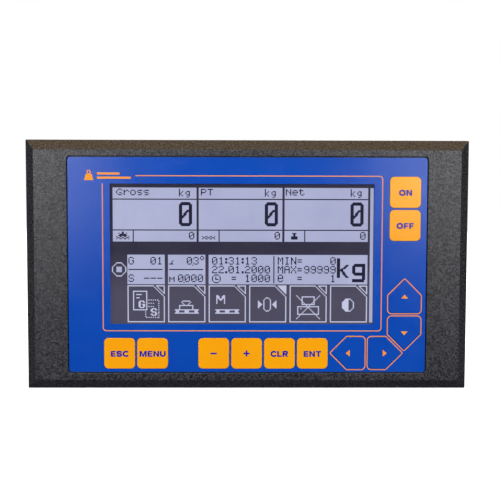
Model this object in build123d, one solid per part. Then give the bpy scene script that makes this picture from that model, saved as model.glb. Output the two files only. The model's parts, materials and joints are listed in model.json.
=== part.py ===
from build123d import *
import math
import os

# Weighing terminal with a membrane keypad and a graphic display.
# Millimetres. X to the right, Y from the front to the back, Z up. The origin is at the middle of the
# bottom of the whole terminal. Depths are counted backwards from the plane of the front face.
# Heights marked "z" are counted from the middle of the front face.

# ---- housing -------------------------------------------------------------------------------------
HOUSING_WIDTH = 214.8
HOUSING_HEIGHT = 121.4
HOUSING_DEPTH = 48.0
TOTAL_DEPTH = 60.0          # the sockets stand out of the back
BEVEL_SIDE = 4.5            # width of the front bevel at the left and right
BEVEL_TOP = 4.9             # and at the top and bottom
BEVEL_DEPTH = 5.0
EDGE_RADIUS = 0.4           # rounding of every outer edge
RECESS_EDGE_RADIUS = 0.2
WALL = 3.0
FRAME_BACK = 14.0           # depth of the joint between front frame and rear housing
GASKET_THICKNESS = 0.8
GASKET_INSET = 0.7
REAR_CHAMFER = 6.0
REAR_CHAMFER_BOTTOM = 1.5

CUT = 0.1                   # how far a cut reaches past the surface it opens

FRONT_Y = -TOTAL_DEPTH / 2
MIDDLE_Z = HOUSING_HEIGHT / 2

# ---- keypad --------------------------------------------------------------------------------------
OVERLAY_WIDTH = 173.2
OVERLAY_HEIGHT = 104.2
OVERLAY_Z = 0.2
OVERLAY_CORNER = 1.3
OVERLAY_GAP = 0.5
OVERLAY_FRONT = 0.6
OVERLAY_THICKNESS = 0.3
SPACER_THICKNESS = 0.7
CIRCUIT_THICKNESS = 0.3
OVERLAY_BACK = OVERLAY_FRONT + OVERLAY_THICKNESS
SPACER_BACK = OVERLAY_BACK + SPACER_THICKNESS
RECESS_DEPTH = SPACER_BACK + CIRCUIT_THICKNESS
FLOOR_THICKNESS = 2.5
BOSS_ROOT = 0.5             # depth that bosses and ribs reach into the floor
FLOOR_BACK = RECESS_DEPTH + FLOOR_THICKNESS

KEY_SIZE = 15.0
KEY_CORNER = 2.2
KEY_PITCH = 16.0
KEY_TOP = 0.25              # depth of the raised key face
KEY_BACK = OVERLAY_BACK + 0.05
KEY_EDGE = 0.25             # rounding of the raised key face
KEY_CLEARANCE = 0.06
SPACER_CLEARANCE = 0.3
PLUNGER_RADIUS = 2.0
PLUNGER_LENGTH = 0.1
KEY_ROW_Z = -42.75
MENU_KEY_X = -46.1
PLUS_KEY_X = -0.4
POWER_KEY_X = 76.1
ON_KEY_Z = 35.7

ARROW_WIDTH = 16.4          # outline of an arrow key, across its point
ARROW_BODY = 9.1            # from its base to its shoulders
ARROW_INSET = 0.4           # from the printed outline to the edge of the moving pad
ARROW_BASE_CORNER = 1.8
ARROW_OTHER_CORNER = 0.6
ARROW_SPLIT = 1.0           # gap between the bases of two opposite arrows
ARROW_DOME = 7.5            # from the base to the dome
VERTICAL_ARROWS = (76.3, -23.8)
SIDEWAYS_ARROWS = (57.9, -42.55)

DOME_RADIUS = 5.0
DOME_HEIGHT = 0.5
DOME_SHEET = 0.12
DOME_RIM = 0.9

TAIL_X = -31.2
TAIL_Z = -43.5
TAIL_WIDTH = 12.0
TAIL_BACK = 24.0
TAIL_SLOT_MARGIN = 0.5
TAIL_FIT = 0.1

# ---- display -------------------------------------------------------------------------------------
WINDOW_X = -2.65
WINDOW_Z = 5.6
OPENING_WIDTH = 127.5       # clear opening in the printed overlay
OPENING_HEIGHT = 67.9
WINDOW_WIDTH = 137.0
WINDOW_HEIGHT = 78.0
WINDOW_MARGIN = 0.5
VIEW_WIDTH = 134.0          # opening in the frame's thin lip
VIEW_HEIGHT = 75.0
LIP_BACK = 2.7
POCKET_WIDTH = 150.0
POCKET_HEIGHT = 86.0
BEZEL_FRONT = 3.2
BEZEL_WIDTH = 148.0
BEZEL_HEIGHT = 84.0
BEZEL_SHEET = 0.6
BEZEL_CORNER = 1.5
BOARD_CORNER = 2.0
BEZEL_VIEW_WIDTH = 130.4
BEZEL_VIEW_HEIGHT = 71.0
GLASS_THICKNESS = 2.2
BACKLIGHT_THICKNESS = 5.0
BOARD_THICKNESS = 1.6
DISPLAY_BOARD_FRONT = 11.2
DISPLAY_BOARD_WIDTH = 164.0
DISPLAY_BOARD_HEIGHT = 92.0
DISPLAY_SCREW_X = 78.5      # from the window's centre
DISPLAY_SCREW_Z = 42.0
DISPLAY_BOSS_RADIUS = 3.5
DISPLAY_GASKET_WIDTH = 4.0
GLASS_MARGIN = 3.0          # from the bezel's side to the glass
BACKLIGHT_MARGIN = 2.0
MODULE_MARGIN_TOP = 2.0     # from the bezel's top to glass and backlight
GLASS_FRONT = BEZEL_FRONT + BEZEL_SHEET
GLASS_BACK = GLASS_FRONT + GLASS_THICKNESS

# ---- main board ----------------------------------------------------------------------------------
MAIN_BOARD_FRONT = 26.0
MAIN_BOARD_BACK = MAIN_BOARD_FRONT + BOARD_THICKNESS
MAIN_BOARD_WIDTH = 160.0
MAIN_BOARD_HEIGHT = 98.0
MAIN_BOARD_Z = -4.0
BOARD_SCREWS = [(-74.0, -14.0), (74.0, -14.0), (-74.0, 40.0), (74.0, 40.0)]
BOARD_BOSS_RADIUS = 3.5
PROCESSOR = (16.0, 16.0, 1.6, 0.0, 6.0)             # width, height, thickness, x, z
ADC_SHIELD = (30.0, 24.0, 5.0, 30.0, -12.0)
INCLINATION_SENSOR = (9.0, 9.0, 3.0, -26.0, 26.0)
SHIELD_CORNER = 1.0
BUZZER_PLACE = (-50.0, 14.0)
BUZZER_RADIUS = 6.0
BUZZER_HEIGHT = 6.5
BUZZER_HOLE_RADIUS = 1.0
BUZZER_HOLE_DEPTH = 3.0
BATTERY_PLACE = (52.0, 14.0)
CELL_RADIUS = 10.0
CELL_THICKNESS = 3.2
HOLDER_RADIUS = 12.0
HOLDER_HEIGHT = 3.6
HOLDER_FLOOR = 0.6
CELL_CLEARANCE = 0.1
CAPACITOR_X = (-66.0, -56.0, -46.0)
CAPACITOR_Z = -28.0
CAPACITOR_RADIUS = 4.0
CAPACITOR_HEIGHT = 9.0

# ---- ribbon --------------------------------------------------------------------------------------
RIBBON_X = 20.0
RIBBON_TOP = 44.0
RIBBON_BOTTOM = 32.0
RIBBON_WIDTH = 26.0
RIBBON_THICKNESS = 0.6
HEADER_HEIGHT = 4.0
HEADER_DEPTH = 5.0
HEADER_MARGIN = 3.0         # how much longer a header is than its ribbon
TAIL_HEADER_DEPTH = 3.0
TAIL_HEADER_MARGIN = 4.0

# ---- fasteners -----------------------------------------------------------------------------------
SMALL_SCREW_RADIUS = 1.45
SMALL_SCREW_HEAD = (2.8, 2.0)
SMALL_SCREW_LENGTH = 6.0
SMALL_CLEARANCE = 1.7
CROSS_LENGTH = 3.2
CROSS_WIDTH = 0.7
CROSS_DEPTH = 1.0
HOUSING_SCREWS = [(x, z) for x in (-96.0, 96.0) for z in (-49.0, 0.0, 49.0)]
HOUSING_SCREW_RADIUS = 1.95
HOUSING_SCREW_TIP = 7.5
HOUSING_SCREW_SEAT = 22.0
HOUSING_SCREW_HEAD = (3.5, 4.0)
HOUSING_SCREW_CLEARANCE = 0.3
HOUSING_PILLAR_RADIUS = 5.6
RIB_WIDTH = 3.0
RIB_SETBACK = 2.0           # from the joint to the front of the ribs
COUNTERBORE_RADIUS = 4.25
INSERT_RADIUS = 3.0
INSERT_BORE = 2.0
INSERT_LENGTH = 8.0
FIT = 0.02
HEX_SOCKET_RADIUS = 1.7
HEX_SOCKET_DEPTH = 2.2

# ---- back ----------------------------------------------------------------------------------------
BRACKET_PITCH = 75.0
BRACKET_Z = 8.0
PAD_SIZE = 90.0
PAD_CORNER = 6.0
PAD_HEIGHT = 1.5
BRACKET_BOSS_RADIUS = 5.5
BRACKET_BOSS_EXTRA = 2.0    # material in front of an insert
BOSS_OVERLAP = 1.0          # how far bosses and pad reach into the back wall
SOCKET_X = (-60.0, 0.0, 60.0)
SOCKET_Z = -47.0
SOCKET_RADIUS = 6.0
SOCKET_BORE = 4.7
SOCKET_BODY_RADIUS = 7.0
SOCKET_FLANGE_RADIUS = 9.0
SOCKET_FLANGE_THICKNESS = 1.8
SOCKET_MOUTH = 7.5
SOCKET_FRONT = 6.0          # from the main board to the front of the shell
SOCKET_HOLE_FIT = 0.05
BACK_HOLE_DEPTH = 8.0
SEAL_THICKNESS = 0.8
SEAL_INSET = 0.5
SOCKET_NUT_RADIUS = 9.0
SOCKET_NUT_THICKNESS = 3.0
PIN_RADIUS = 0.5
PIN_CIRCLE = 2.6
PIN_RECESS = 2.0
PIN_CLEARANCE = 0.1
PIN_TIP = 1.0               # how far the pins stand out of the main board
PLATE_WIDTH = 32.0
PLATE_HEIGHT = 44.0
PLATE_THICKNESS = 0.4
PLATE_CORNER = 2.0
PLATE_X = -72.0
PLATE_Z = 12.0
VENT_X = 72.0
VENT_Z = -20.0
VENT_RADIUS = 6.0
VENT_HEIGHT = 3.0
VENT_STEM_RADIUS = 4.0
VENT_STEM_EXTRA = 1.0       # how far the stem stands out inside the wall
VENT_SLOT_WIDTH = 1.2
VENT_SLOT_DEPTH = 1.0
SEAL_BACK = HOUSING_DEPTH + SEAL_THICKNESS
FLANGE_BACK = SEAL_BACK + SOCKET_FLANGE_THICKNESS
INSULATOR_BACK = TOTAL_DEPTH - SOCKET_MOUTH


# ---- shared shapes -------------------------------------------------------------------------------
def face_plane(depth, x=0.0, z=0.0):
    """Plane parallel to the front face, at a depth, seen from the front."""
    return Plane(origin=(x, FRONT_Y + depth, MIDDLE_Z + z), x_dir=(1, 0, 0), z_dir=(0, -1, 0))


def slab(width, height, front, back, x=0.0, z=0.0, radius=0.0):
    """Flat block from one depth to another."""
    outline = RectangleRounded(width, height, radius) if radius else Rectangle(width, height)
    return extrude(face_plane(back, x, z) * outline, amount=back - front)


def disc(radius, front, back, x=0.0, z=0.0):
    """Round block from one depth to another."""
    return extrude(face_plane(back, x, z) * Circle(radius), amount=back - front)


def prism(outline, front, back, x=0.0, z=0.0):
    """Block with any outline from one depth to another."""
    return extrude(face_plane(back, x, z) * outline, amount=back - front)


def at_window(width, height, front, back, radius=0.0):
    """Slab centred on the display window."""
    return slab(width, height, front, back, WINDOW_X, WINDOW_Z, radius)


def group(pieces):
    """Several separate solids in one node."""
    return Compound(children=list(pieces))


def edges_at(shape, depth):
    """Edges that lie at one depth."""
    return shape.edges().filter_by_position(Axis.Y, FRONT_Y + depth - 0.001, FRONT_Y + depth + 0.001)


# ---- keys ----------------------------------------------------------------------------------------
def square_outline(margin=0.0):
    """Outline of a square key, grown by a margin."""
    size = KEY_SIZE + 2 * margin
    return RectangleRounded(size, size, KEY_CORNER + margin)


def arrow_outline(turn, margin=0.0):
    """Outline of an arrow pad whose base is at the origin and whose point is turned from up."""
    inset = ARROW_INSET - margin
    half = ARROW_WIDTH / 2 - inset
    shoulder = ARROW_BODY - inset * math.tan(math.radians(22.5))
    corners = [(-half, inset), (half, inset), (half, shoulder), (0, shoulder + half), (-half, shoulder)]
    face = make_face(Polyline(*corners, close=True))
    base = face.vertices().sort_by(Axis.Y)[:2]
    face = fillet(base, ARROW_BASE_CORNER + margin)
    others = face.vertices().filter_by_position(Axis.Y, shoulder - 0.01, shoulder + half + 0.01)
    face = fillet(others, ARROW_OTHER_CORNER + margin)
    return Rot(0, 0, turn) * face


def arrow_key(turn):
    """Base point, dome point and turn of an arrow key, from the split between it and its opposite."""
    centre = VERTICAL_ARROWS if turn in (0, 180) else SIDEWAYS_ARROWS
    step_x = -math.sin(math.radians(turn))
    step_z = math.cos(math.radians(turn))
    base = (centre[0] + step_x * ARROW_SPLIT / 2, centre[1] + step_z * ARROW_SPLIT / 2)
    dome = (base[0] + step_x * ARROW_DOME, base[1] + step_z * ARROW_DOME)
    return {"at": base, "dome": dome, "turn": turn}


def key_table():
    """Every key: where it is, where its dome is, and how an arrow is turned."""
    square = {
        "esc": (MENU_KEY_X - KEY_PITCH, KEY_ROW_Z),
        "menu": (MENU_KEY_X, KEY_ROW_Z),
        "minus": (PLUS_KEY_X - KEY_PITCH, KEY_ROW_Z),
        "plus": (PLUS_KEY_X, KEY_ROW_Z),
        "clear": (PLUS_KEY_X + KEY_PITCH, KEY_ROW_Z),
        "enter": (PLUS_KEY_X + 2 * KEY_PITCH, KEY_ROW_Z),
        "on": (POWER_KEY_X, ON_KEY_Z),
        "off": (POWER_KEY_X, ON_KEY_Z - KEY_PITCH),
    }
    keys = {name: {"at": place, "dome": place, "turn": None} for name, place in square.items()}
    for name, turn in {"up": 0, "left": 90, "down": 180, "right": -90}.items():
        keys[name] = arrow_key(turn)
    return keys


def key_outline(key, margin=0.0):
    """Outline of any key, grown by a margin."""
    if key["turn"] is None:
        return square_outline(margin)
    return arrow_outline(key["turn"], margin)


def key_hole(key, margin, front, back):
    """Hole that leaves a margin around a key."""
    return prism(key_outline(key, margin), front - CUT, back + CUT, *key["at"])


def key_pad(key):
    """Raised pad with a small plunger behind it that meets the dome."""
    pad = prism(key_outline(key), KEY_TOP, KEY_BACK, *key["at"])
    pad = fillet(edges_at(pad, KEY_TOP), KEY_EDGE)
    return pad + disc(PLUNGER_RADIUS, KEY_BACK - CUT, KEY_BACK + PLUNGER_LENGTH, *key["dome"])


def low_cap(radius, height):
    """Shallow cap of a large sphere that stands on the plane."""
    ball_radius = (radius**2 + height**2) / (2 * height)
    ball = Pos(0, 0, height - ball_radius) * Sphere(ball_radius)
    return ball & Pos(0, 0, height / 2) * Box(2 * radius + 1, 2 * radius + 1, height)


def snap_dome(key):
    """Thin sprung metal dome that stands on the keypad circuit."""
    dome = low_cap(DOME_RADIUS, DOME_HEIGHT) - low_cap(DOME_RADIUS - DOME_RIM, DOME_HEIGHT - DOME_SHEET)
    x, z = key["dome"]
    return face_plane(SPACER_BACK, x, z) * dome


# ---- keypad layers -------------------------------------------------------------------------------
def keypad_overlay(keys):
    """Printed film with an opening for the display and one for each key."""
    sheet = slab(
        OVERLAY_WIDTH, OVERLAY_HEIGHT, OVERLAY_FRONT, OVERLAY_BACK, z=OVERLAY_Z, radius=OVERLAY_CORNER
    )
    sheet -= slab(
        OPENING_WIDTH, OPENING_HEIGHT, OVERLAY_FRONT - CUT, OVERLAY_BACK + CUT, WINDOW_X, WINDOW_Z
    )
    for key in keys.values():
        sheet -= key_hole(key, KEY_CLEARANCE, OVERLAY_FRONT, OVERLAY_BACK)
    return sheet


def window_cutout(front, back):
    """Space that the sheets behind the overlay leave for the display window."""
    margin = 2 * WINDOW_MARGIN
    return slab(WINDOW_WIDTH + margin, WINDOW_HEIGHT + margin, front - CUT, back + CUT, WINDOW_X, WINDOW_Z)


def keypad_sheet(front, back):
    """Sheet as large as the overlay, cut out around the display window."""
    sheet = slab(OVERLAY_WIDTH, OVERLAY_HEIGHT, front, back, z=OVERLAY_Z, radius=OVERLAY_CORNER)
    return sheet - window_cutout(front, back)


def keypad_spacer(keys):
    """Spacer between overlay and circuit with an opening around each key and dome."""
    sheet = keypad_sheet(OVERLAY_BACK, SPACER_BACK)
    for key in keys.values():
        sheet -= key_hole(key, SPACER_CLEARANCE, OVERLAY_BACK, SPACER_BACK)
    return sheet


def keypad_circuit():
    """Flexible circuit under the domes with a tail that runs back to the main board."""
    tail = slab(TAIL_WIDTH, CIRCUIT_THICKNESS, SPACER_BACK + CUT, TAIL_BACK, TAIL_X, TAIL_Z)
    return keypad_sheet(SPACER_BACK, RECESS_DEPTH) + tail


# ---- housing -------------------------------------------------------------------------------------
def bevelled_block():
    """Outside of the front frame: a bevel all round and straight sides behind it."""
    face = Rectangle(HOUSING_WIDTH - 2 * BEVEL_SIDE, HOUSING_HEIGHT - 2 * BEVEL_TOP)
    base = Rectangle(HOUSING_WIDTH, HOUSING_HEIGHT)
    bevel = loft([face_plane(BEVEL_DEPTH) * base, face_plane(0) * face], ruled=True)
    block = bevel + slab(HOUSING_WIDTH, HOUSING_HEIGHT, BEVEL_DEPTH, FRAME_BACK)
    outer = block.edges() - edges_at(block, FRAME_BACK)
    return fillet(outer, EDGE_RADIUS)


def side_ribs(front, back):
    """Ribs that tie the screw bosses to the side walls."""
    length = HOUSING_WIDTH / 2 - WALL / 2 - abs(HOUSING_SCREWS[0][0])
    return [
        slab(length, RIB_WIDTH, front, back, math.copysign(abs(x) + length / 2, x), z)
        for x, z in HOUSING_SCREWS
    ]


def display_bosses():
    """Places of the four display screws."""
    return [
        (WINDOW_X + side * DISPLAY_SCREW_X, WINDOW_Z + level * DISPLAY_SCREW_Z)
        for side in (-1, 1)
        for level in (-1, 1)
    ]


def recess_rim(frame):
    """Edges of the keypad recess in the front face."""
    near = edges_at(frame, 0).filter_by(lambda edge: abs(edge.center().X) < OVERLAY_WIDTH / 2 + 1)
    return near.filter_by(lambda edge: abs(edge.center().Z - MIDDLE_Z) < OVERLAY_HEIGHT / 2 + 1)


def front_frame():
    """Bevelled frame with the keypad recess, the display aperture and the screw bosses."""
    frame = bevelled_block()
    gap = 2 * OVERLAY_GAP
    frame -= slab(
        OVERLAY_WIDTH + gap,
        OVERLAY_HEIGHT + gap,
        -CUT,
        RECESS_DEPTH,
        z=OVERLAY_Z,
        radius=OVERLAY_CORNER + OVERLAY_GAP,
    )
    frame = fillet(recess_rim(frame), RECESS_EDGE_RADIUS)
    frame -= slab(HOUSING_WIDTH - 2 * WALL, HOUSING_HEIGHT - 2 * WALL, FLOOR_BACK, FRAME_BACK + CUT)
    root = FLOOR_BACK - BOSS_ROOT
    for x, z in HOUSING_SCREWS:
        frame += disc(HOUSING_PILLAR_RADIUS, root, FRAME_BACK, x, z)
    for rib in side_ribs(root, FRAME_BACK - RIB_SETBACK):
        frame += rib
    for x, z in display_bosses():
        frame += disc(DISPLAY_BOSS_RADIUS, root, DISPLAY_BOARD_FRONT, x, z)
    frame -= at_window(VIEW_WIDTH, VIEW_HEIGHT, 0, FLOOR_BACK + CUT)
    frame -= at_window(POCKET_WIDTH, POCKET_HEIGHT, LIP_BACK, FLOOR_BACK + CUT)
    frame -= slab(
        TAIL_WIDTH + 2 * TAIL_SLOT_MARGIN,
        CIRCUIT_THICKNESS + 2 * TAIL_SLOT_MARGIN,
        0,
        FLOOR_BACK + CUT,
        TAIL_X,
        TAIL_Z,
    )
    for x, z in HOUSING_SCREWS:
        frame -= disc(INSERT_RADIUS + FIT, FRAME_BACK - INSERT_LENGTH, FRAME_BACK + CUT, x, z)
    screw_tip = DISPLAY_BOARD_FRONT - SMALL_SCREW_LENGTH
    for x, z in display_bosses():
        frame -= disc(SMALL_SCREW_RADIUS + FIT, screw_tip, DISPLAY_BOARD_FRONT + CUT, x, z)
    return frame


def rear_block(width, height, front, back, chamfer_size, bottom_chamfer):
    """Block with chamfered rear edges, a smaller one along the bottom."""
    block = slab(width, height, front, back)
    block = chamfer(edges_at(block, back).sort_by(Axis.Z)[1:], chamfer_size)
    block = chamfer(edges_at(block, back).sort_by(Axis.Z)[:1], bottom_chamfer)
    return fillet(block.edges() - edges_at(block, front), EDGE_RADIUS)


def bracket_holes():
    """Places of the four rear bracket inserts."""
    half = BRACKET_PITCH / 2
    return [(x, BRACKET_Z + z) for x in (-half, half) for z in (-half, half)]


def rear_housing():
    """Rear tray with the screw pillars, board bosses, bracket pad and socket holes."""
    start = FRAME_BACK + GASKET_THICKNESS
    back = HOUSING_DEPTH
    outside = rear_block(HOUSING_WIDTH, HOUSING_HEIGHT, start, back, REAR_CHAMFER, REAR_CHAMFER_BOTTOM)
    inside = rear_block(
        HOUSING_WIDTH - 2 * WALL,
        HOUSING_HEIGHT - 2 * WALL,
        start - CUT,
        back - WALL,
        REAR_CHAMFER - 1,
        REAR_CHAMFER_BOTTOM,
    )
    tray = outside - inside
    root = back - BOSS_OVERLAP
    for x, z in HOUSING_SCREWS:
        tray += disc(HOUSING_PILLAR_RADIUS, start, root, x, z) & outside
    for rib in side_ribs(start + RIB_SETBACK, back - WALL):
        tray += rib & outside
    for x, z in BOARD_SCREWS:
        tray += disc(BOARD_BOSS_RADIUS, MAIN_BOARD_BACK, root, x, z)
    boss_front = back - INSERT_LENGTH - BRACKET_BOSS_EXTRA
    for x, z in bracket_holes():
        tray += disc(BRACKET_BOSS_RADIUS, boss_front, root, x, z)
    pad_face = back + PAD_HEIGHT
    tray += slab(PAD_SIZE, PAD_SIZE, root, pad_face, z=BRACKET_Z, radius=PAD_CORNER)
    for x, z in HOUSING_SCREWS:
        tray -= disc(HOUSING_SCREW_RADIUS + HOUSING_SCREW_CLEARANCE, start - CUT, back, x, z)
        tray -= disc(COUNTERBORE_RADIUS, HOUSING_SCREW_SEAT, back + CUT, x, z)
    for x, z in BOARD_SCREWS:
        screw_tip = MAIN_BOARD_BACK + SMALL_SCREW_LENGTH
        tray -= disc(SMALL_SCREW_RADIUS + FIT, MAIN_BOARD_BACK - CUT, screw_tip, x, z)
    for x, z in bracket_holes():
        tray -= disc(INSERT_RADIUS + FIT, pad_face - INSERT_LENGTH, pad_face + CUT, x, z)
    hole_front = back - BACK_HOLE_DEPTH
    for x in SOCKET_X:
        tray -= disc(SOCKET_BODY_RADIUS + SOCKET_HOLE_FIT, hole_front, back + CUT, x, SOCKET_Z)
    return tray - disc(VENT_STEM_RADIUS + FIT, hole_front, back + CUT, VENT_X, VENT_Z)


def housing_gasket():
    """Flat rubber ring between the two halves of the housing, passing outside the screws."""
    width = HOUSING_WIDTH - 2 * GASKET_INSET
    height = HOUSING_HEIGHT - 2 * GASKET_INSET
    front = FRAME_BACK
    back = FRAME_BACK + GASKET_THICKNESS
    ring = slab(width, height, front, back)
    return ring - slab(HOUSING_WIDTH - 2 * WALL, HOUSING_HEIGHT - 2 * WALL, front - CUT, back + CUT)


# ---- fasteners -----------------------------------------------------------------------------------
def housing_screw(x, z):
    """Long cap screw from the back into the front frame's insert."""
    head_radius, head_height = HOUSING_SCREW_HEAD
    head_back = HOUSING_SCREW_SEAT + head_height
    screw = disc(HOUSING_SCREW_RADIUS, HOUSING_SCREW_TIP, HOUSING_SCREW_SEAT + CUT, x, z)
    screw += disc(head_radius, HOUSING_SCREW_SEAT, head_back, x, z)
    hexagon = RegularPolygon(HEX_SOCKET_RADIUS, 6)
    return screw - prism(hexagon, head_back - HEX_SOCKET_DEPTH, head_back + CUT, x, z)


def small_screw(x, z, seat, head_side):
    """Board screw. Its head is on the front side (-1) or the back side (1) of the seat."""
    head_radius, head_height = SMALL_SCREW_HEAD
    head_end = seat + head_side * head_height
    tip = seat - head_side * SMALL_SCREW_LENGTH
    screw = disc(SMALL_SCREW_RADIUS, min(tip, seat), max(tip, seat), x, z)
    screw += disc(head_radius, min(seat, head_end), max(seat, head_end), x, z)
    cross_end = head_end - head_side * CROSS_DEPTH
    cross_front = min(head_end, cross_end)
    cross_back = max(head_end, cross_end)
    for width, height in ((CROSS_LENGTH, CROSS_WIDTH), (CROSS_WIDTH, CROSS_LENGTH)):
        screw -= slab(width, height, cross_front, cross_back, x, z)
    return screw


def threaded_insert(x, z, front):
    """Brass insert with a plain bore for the thread."""
    insert = disc(INSERT_RADIUS, front, front + INSERT_LENGTH, x, z)
    return insert - disc(INSERT_BORE, front - CUT, front + INSERT_LENGTH + CUT, x, z)


# ---- display module ------------------------------------------------------------------------------
def display_gasket():
    """Foam ring between the frame's lip and the display bezel."""
    grow = 2 * DISPLAY_GASKET_WIDTH
    ring = at_window(VIEW_WIDTH + grow, VIEW_HEIGHT + grow, LIP_BACK, BEZEL_FRONT)
    return ring - at_window(VIEW_WIDTH, VIEW_HEIGHT, LIP_BACK - CUT, BEZEL_FRONT + CUT)


def display_bezel():
    """Sheet metal frame that holds glass and backlight on the display board."""
    bezel = at_window(BEZEL_WIDTH, BEZEL_HEIGHT, BEZEL_FRONT, DISPLAY_BOARD_FRONT, BEZEL_CORNER)
    bezel -= at_window(
        BEZEL_WIDTH - 2 * BEZEL_SHEET,
        BEZEL_HEIGHT - 2 * BEZEL_SHEET,
        GLASS_FRONT,
        DISPLAY_BOARD_FRONT + CUT,
        BEZEL_CORNER - BEZEL_SHEET / 2,
    )
    return bezel - at_window(BEZEL_VIEW_WIDTH, BEZEL_VIEW_HEIGHT, BEZEL_FRONT - CUT, GLASS_FRONT + CUT)


def display_glass():
    """Liquid crystal glass."""
    width = BEZEL_WIDTH - 2 * GLASS_MARGIN
    return at_window(width, BEZEL_HEIGHT - 2 * MODULE_MARGIN_TOP, GLASS_FRONT, GLASS_BACK)


def display_backlight():
    """Light guide behind the glass."""
    width = BEZEL_WIDTH - 2 * BACKLIGHT_MARGIN
    height = BEZEL_HEIGHT - 2 * MODULE_MARGIN_TOP
    return at_window(width, height, GLASS_BACK, GLASS_BACK + BACKLIGHT_THICKNESS)


def display_board():
    """Circuit board of the display with its four screw holes."""
    back = DISPLAY_BOARD_FRONT + BOARD_THICKNESS
    board = at_window(DISPLAY_BOARD_WIDTH, DISPLAY_BOARD_HEIGHT, DISPLAY_BOARD_FRONT, back, BOARD_CORNER)
    for x, z in display_bosses():
        board -= disc(SMALL_CLEARANCE, DISPLAY_BOARD_FRONT - CUT, back + CUT, x, z)
    return board


# ---- electronics ---------------------------------------------------------------------------------
def ribbon_headers():
    """Headers of the display ribbon at both ends, and of the keypad tail."""
    display_back = DISPLAY_BOARD_FRONT + BOARD_THICKNESS
    length = RIBBON_WIDTH + HEADER_MARGIN
    top = slab(length, HEADER_DEPTH, display_back, display_back + HEADER_HEIGHT, RIBBON_X, RIBBON_TOP)
    start = MAIN_BOARD_FRONT - HEADER_HEIGHT
    bottom = slab(length, HEADER_DEPTH, start, MAIN_BOARD_FRONT, RIBBON_X, RIBBON_BOTTOM)
    tail_length = TAIL_WIDTH + TAIL_HEADER_MARGIN
    tail = slab(tail_length, TAIL_HEADER_DEPTH, start, MAIN_BOARD_FRONT, TAIL_X, TAIL_Z)
    slot_width = TAIL_WIDTH + 2 * TAIL_FIT
    tail -= slab(slot_width, CIRCUIT_THICKNESS + TAIL_FIT, start - CUT, TAIL_BACK, TAIL_X, TAIL_Z)
    return group([top, bottom, tail])


def display_cable():
    """Flat ribbon from the display board's header down to the main board's header."""
    front = DISPLAY_BOARD_FRONT + BOARD_THICKNESS + HEADER_HEIGHT
    back = MAIN_BOARD_FRONT - HEADER_HEIGHT
    bend = (front + back) / 2
    half = RIBBON_THICKNESS / 2
    corners = [
        (front, RIBBON_TOP + half),
        (bend + half, RIBBON_TOP + half),
        (bend + half, RIBBON_BOTTOM + half),
        (back, RIBBON_BOTTOM + half),
        (back, RIBBON_BOTTOM - half),
        (bend - half, RIBBON_BOTTOM - half),
        (bend - half, RIBBON_TOP - half),
        (front, RIBBON_TOP - half),
    ]
    side = Plane(
        origin=(RIBBON_X - RIBBON_WIDTH / 2, FRONT_Y, MIDDLE_Z), x_dir=(0, 1, 0), z_dir=(1, 0, 0)
    )
    return extrude(side * make_face(Polyline(*corners, close=True)), amount=RIBBON_WIDTH)


def pin_places(x):
    """Places of the four pins of one socket."""
    step = PIN_CIRCLE / math.sqrt(2)
    return [(x + a * step, SOCKET_Z + b * step) for a in (-1, 1) for b in (-1, 1)]


def main_board():
    """Main circuit board with screw holes and pin holes."""
    board = slab(
        MAIN_BOARD_WIDTH,
        MAIN_BOARD_HEIGHT,
        MAIN_BOARD_FRONT,
        MAIN_BOARD_BACK,
        z=MAIN_BOARD_Z,
        radius=BOARD_CORNER,
    )
    for x, z in BOARD_SCREWS:
        board -= disc(SMALL_CLEARANCE, MAIN_BOARD_FRONT - CUT, MAIN_BOARD_BACK + CUT, x, z)
    for centre in SOCKET_X:
        for x, z in pin_places(centre):
            board -= disc(PIN_RADIUS + PIN_CLEARANCE, MAIN_BOARD_FRONT - CUT, MAIN_BOARD_BACK + CUT, x, z)
    return board


def on_board(width, height, thickness, x, z, radius=0.0):
    """Component on the front side of the main board."""
    return slab(width, height, MAIN_BOARD_FRONT - thickness, MAIN_BOARD_FRONT, x, z, radius)


def buzzer():
    """Round buzzer with a sound hole."""
    front = MAIN_BOARD_FRONT - BUZZER_HEIGHT
    body = disc(BUZZER_RADIUS, front, MAIN_BOARD_FRONT, *BUZZER_PLACE)
    return body - disc(BUZZER_HOLE_RADIUS, front - CUT, front + BUZZER_HOLE_DEPTH, *BUZZER_PLACE)


def battery_holder():
    """Open cup that grips the clock battery."""
    front = MAIN_BOARD_FRONT - HOLDER_HEIGHT
    cup = disc(HOLDER_RADIUS, front, MAIN_BOARD_FRONT, *BATTERY_PLACE)
    cell_back = MAIN_BOARD_FRONT - HOLDER_FLOOR
    return cup - disc(CELL_RADIUS + CELL_CLEARANCE, front - CUT, cell_back, *BATTERY_PLACE)


def coin_cell():
    """Clock battery."""
    back = MAIN_BOARD_FRONT - HOLDER_FLOOR
    return disc(CELL_RADIUS, back - CELL_THICKNESS, back, *BATTERY_PLACE)


def supply_capacitors():
    """Three electrolytic capacitors of the supply."""
    front = MAIN_BOARD_FRONT - CAPACITOR_HEIGHT
    return group(disc(CAPACITOR_RADIUS, front, MAIN_BOARD_FRONT, x, CAPACITOR_Z) for x in CAPACITOR_X)


# ---- back pieces ---------------------------------------------------------------------------------
def socket_shell(x):
    """Metal shell of an M12 socket with its flange and open mouth."""
    front = MAIN_BOARD_BACK + SOCKET_FRONT
    shell = disc(SOCKET_BODY_RADIUS, front, FLANGE_BACK, x, SOCKET_Z)
    shell += disc(SOCKET_FLANGE_RADIUS, SEAL_BACK, FLANGE_BACK, x, SOCKET_Z)
    shell += disc(SOCKET_RADIUS, FLANGE_BACK, TOTAL_DEPTH, x, SOCKET_Z)
    return shell - disc(SOCKET_BORE, front - CUT, TOTAL_DEPTH + CUT, x, SOCKET_Z)


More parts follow.
